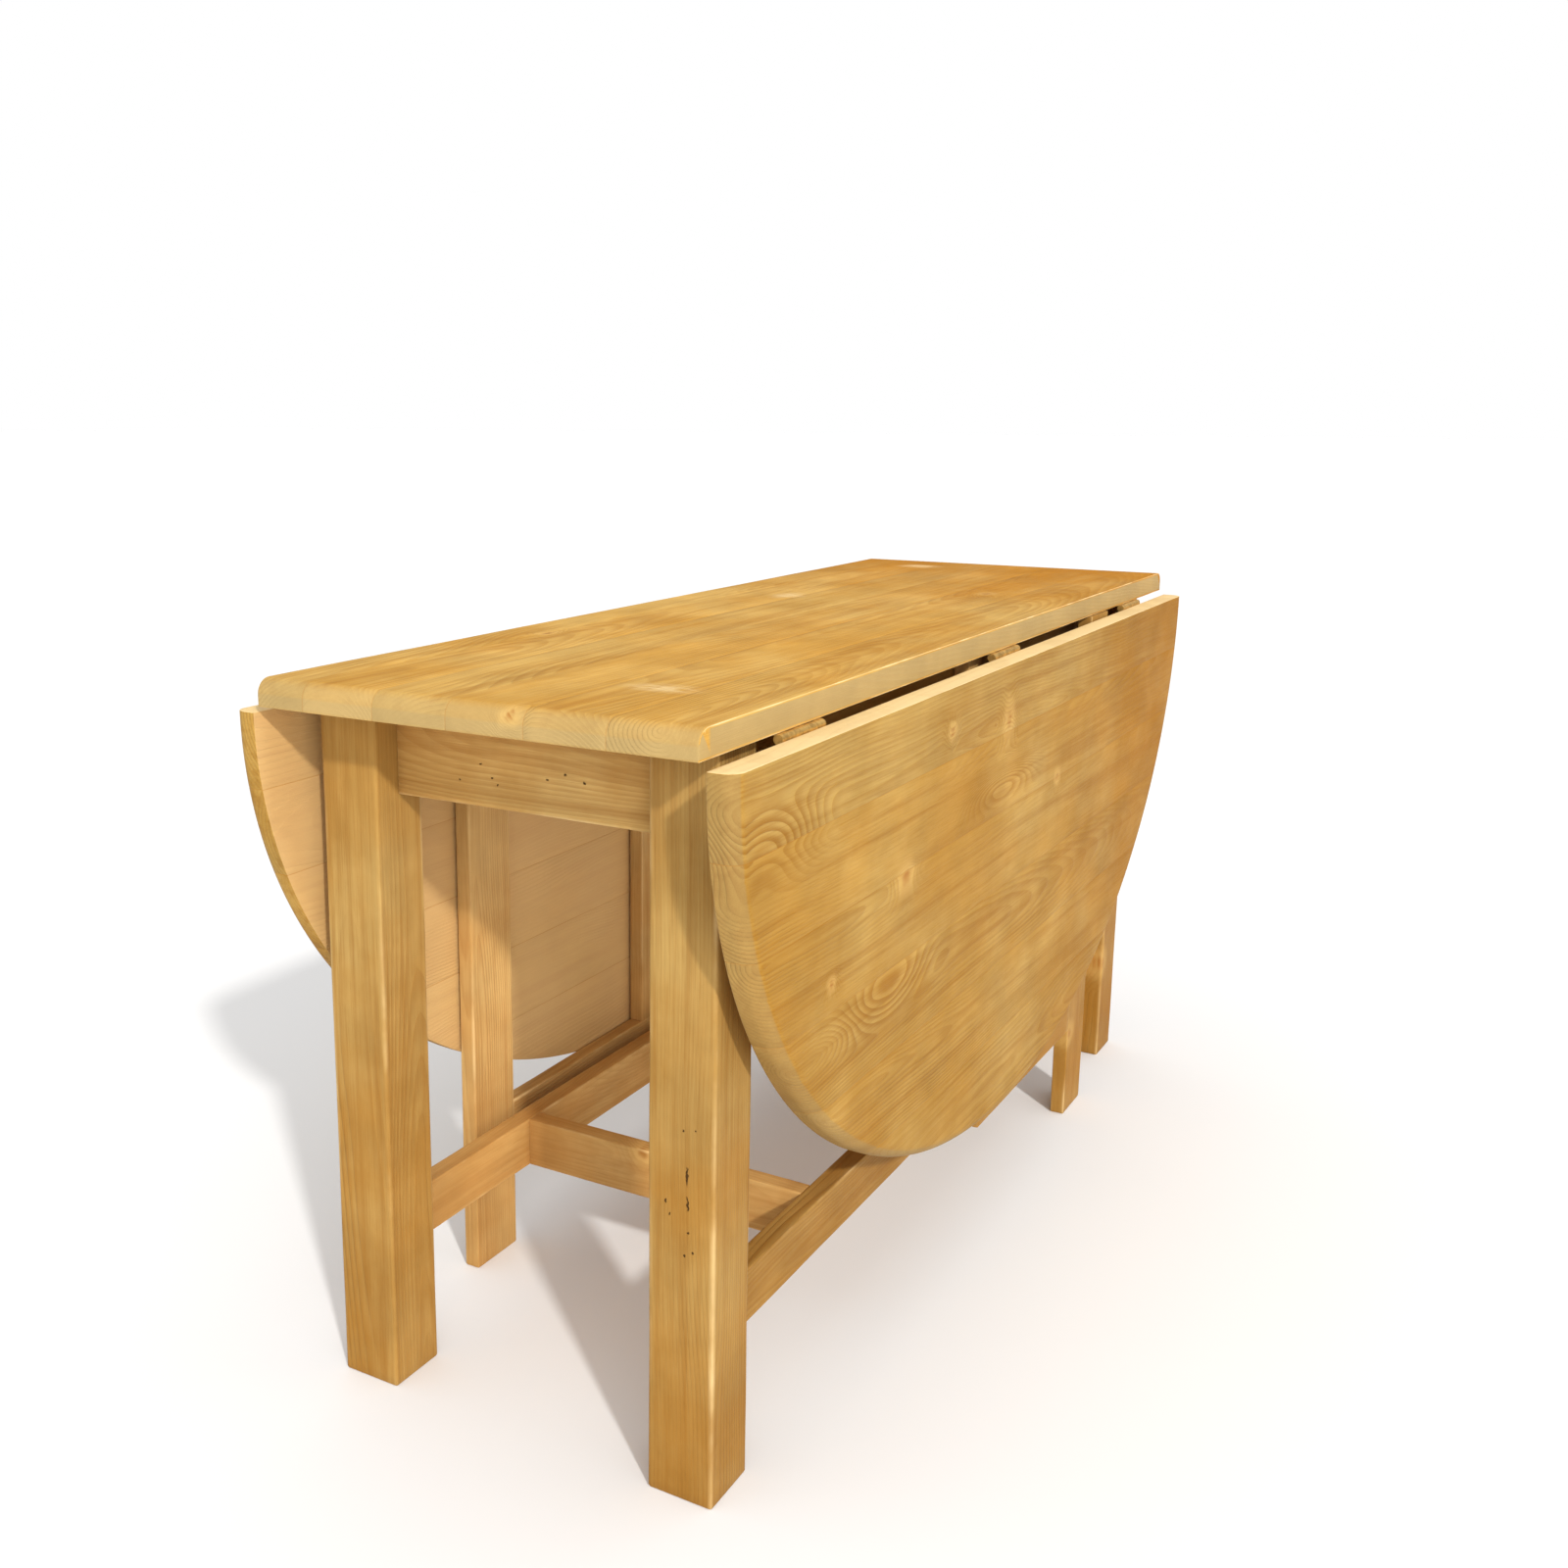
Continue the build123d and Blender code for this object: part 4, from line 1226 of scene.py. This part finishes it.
class GATELEG_OT_screws(bpy.types.Operator):
    """Builds the slotted screws"""

    bl_idname = "gateleg.screws"
    bl_label = "Screws"

    def execute(self, context):
        metal = context.scene.gateleg_metal
        tree = screw_tree()
        nodes = frame["nodes"]
        groups = sorted(name for name in nodes if name.endswith("_screws"))
        for seed, name in enumerate(groups):
            slot, finish = ("steel", "dulled steel") if name in STEEL_SCREWS else ("brass", "aged brass")
            body = nodes[name]["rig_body"]
            build_screws(tree, name, body, slot, bpy.data.materials[finish], metal, seed)
        return {"FINISHED"}


def stand(name, data, place, aim, up="Y"):
    """Stands a light or a camera in the scene, looking along `aim`."""
    made = bpy.data.objects.new(name, data)
    made.location = place
    made.rotation_euler = Vector(aim).to_track_quat("-Z", up).to_euler()
    bpy.context.scene.collection.objects.link(made)
    return made


def lay_floor(stage, reach=60.0):
    """Lays a pale, faintly mottled floor that goes `reach` metres each way."""
    mesh = bpy.data.meshes.new("floor")
    corners = [(-reach, -reach, 0), (reach, -reach, 0), (reach, reach, 0), (-reach, reach, 0)]
    mesh.from_pydata(corners, [], [(0, 1, 2, 3)])
    material, net = new_material("floor")
    place = net.node("ShaderNodeTexCoord").outputs["Object"]
    mottle = net.noise(place, FLOOR_MOTTLE, 0.0)
    colour = net.blend(net.rise(mottle, 0.3, 0.7, 0.04), stage.floor, (0.8, 0.8, 0.8, 1))
    finish_material(net, colour, 0.9, mottle, 0.05 * MM, Specular_IOR_Level=0.1)
    mesh.materials.append(material)
    floor = bpy.data.objects.new("floor", mesh)
    bpy.context.scene.collection.objects.link(floor)


def light_room(stage):
    """A white room, brighter overhead, that the camera sees as a plain backdrop."""
    world = bpy.data.worlds.new("room")
    world.use_nodes = True
    net = Net(world.node_tree)
    height = net.split(net.node("ShaderNodeTexCoord").outputs["Generated"])[2]
    glow = net.scaled(net.larger(height, 0.0), stage.overhead, stage.sky)
    seen = net.node("ShaderNodeLightPath").outputs["Is Camera Ray"]
    strength = net.node("ShaderNodeMix", {0: seen, 2: glow, 3: stage.backdrop}).outputs[0]
    background = world.node_tree.nodes["Background"]
    net.feed(background.inputs["Color"], (1.0, 1.0, 1.0, 1))
    net.feed(background.inputs["Strength"], strength)
    bpy.context.scene.world = world


class GATELEG_OT_stage(bpy.types.Operator):
    """Sets the floor, lights and camera"""

    bl_idname = "gateleg.stage"
    bl_label = "Stage"

    def execute(self, context):
        scene = context.scene
        stage = scene.gateleg_stage
        scene.view_settings.view_transform = "Standard"
        scene.view_settings.look = "None"
        lay_floor(stage)
        light_room(stage)

        sun = bpy.data.lights.new("key", "SUN")
        sun.energy = stage.key_strength
        sun.angle = stage.key_softness
        sun.color = (1.0, 0.98, 0.95)
        stand("key", sun, (0, 0, 0), stage.key_aim)

        fill = bpy.data.lights.new("fill", "AREA")
        fill.size = stage.fill_size
        fill.energy = stage.fill_power
        stand("fill", fill, stage.fill_place, Vector(stage.fill_target) - Vector(stage.fill_place))

        card = bpy.data.lights.new("reflector card", "AREA")
        card.shape = "RECTANGLE"
        card.size = stage.card_length
        card.size_y = stage.card_height
        card.energy = stage.card_power
        lamp = stand("reflector card", card, stage.card_place, (0, 1, 0), up="Z")
        lamp.visible_camera = False

        lens = bpy.data.cameras.new("camera")
        lens.sensor_width = 36
        lens.lens = stage.focal_length
        lens.shift_x = stage.shift_x
        lens.shift_y = stage.shift_y
        scene.camera = stand("camera", lens, stage.camera_place, stage.camera_aim)
        return {"FINISHED"}


OPERATORS = (
    GATELEG_OT_finishes,
    GATELEG_OT_top,
    GATELEG_OT_leaves,
    GATELEG_OT_frame,
    GATELEG_OT_gates,
    GATELEG_OT_blocks,
    GATELEG_OT_hinges,
    GATELEG_OT_screws,
    GATELEG_OT_stage,
)
SETTINGS = {
    "gateleg_pine": PineSettings,
    "gateleg_boards": BoardSettings,
    "gateleg_metal": MetalSettings,
    "gateleg_stage": StageSettings,
}


class GATELEG_PT_panel(bpy.types.Panel):
    """Lists the steps that build the table"""

    bl_idname = "GATELEG_PT_panel"
    bl_label = "Gateleg table"
    bl_space_type = "VIEW_3D"
    bl_region_type = "UI"
    bl_category = "Gateleg table"

    def draw(self, context):
        for operator in OPERATORS:
            self.layout.operator(operator.bl_idname)
        for name, settings in SETTINGS.items():
            box = self.layout.box()
            for field in settings.__annotations__:
                box.prop(getattr(context.scene, name), field)


def register():
    for name, settings in SETTINGS.items():
        bpy.utils.register_class(settings)
        setattr(bpy.types.Scene, name, bpy.props.PointerProperty(type=settings))
    for operator in OPERATORS:
        bpy.utils.register_class(operator)
    bpy.utils.register_class(GATELEG_PT_panel)


def unregister():
    bpy.utils.unregister_class(GATELEG_PT_panel)
    for operator in reversed(OPERATORS):
        bpy.utils.unregister_class(operator)
    for name, settings in SETTINGS.items():
        delattr(bpy.types.Scene, name)
        bpy.utils.unregister_class(settings)


def main():
    register()
    bpy.ops.gateleg.finishes()
    bpy.ops.gateleg.top()
    bpy.ops.gateleg.leaves()
    bpy.ops.gateleg.frame()
    bpy.ops.gateleg.gates()
    bpy.ops.gateleg.blocks()
    bpy.ops.gateleg.hinges()
    bpy.ops.gateleg.screws()
    bpy.ops.gateleg.stage()


if __name__ == "__main__":
    main()
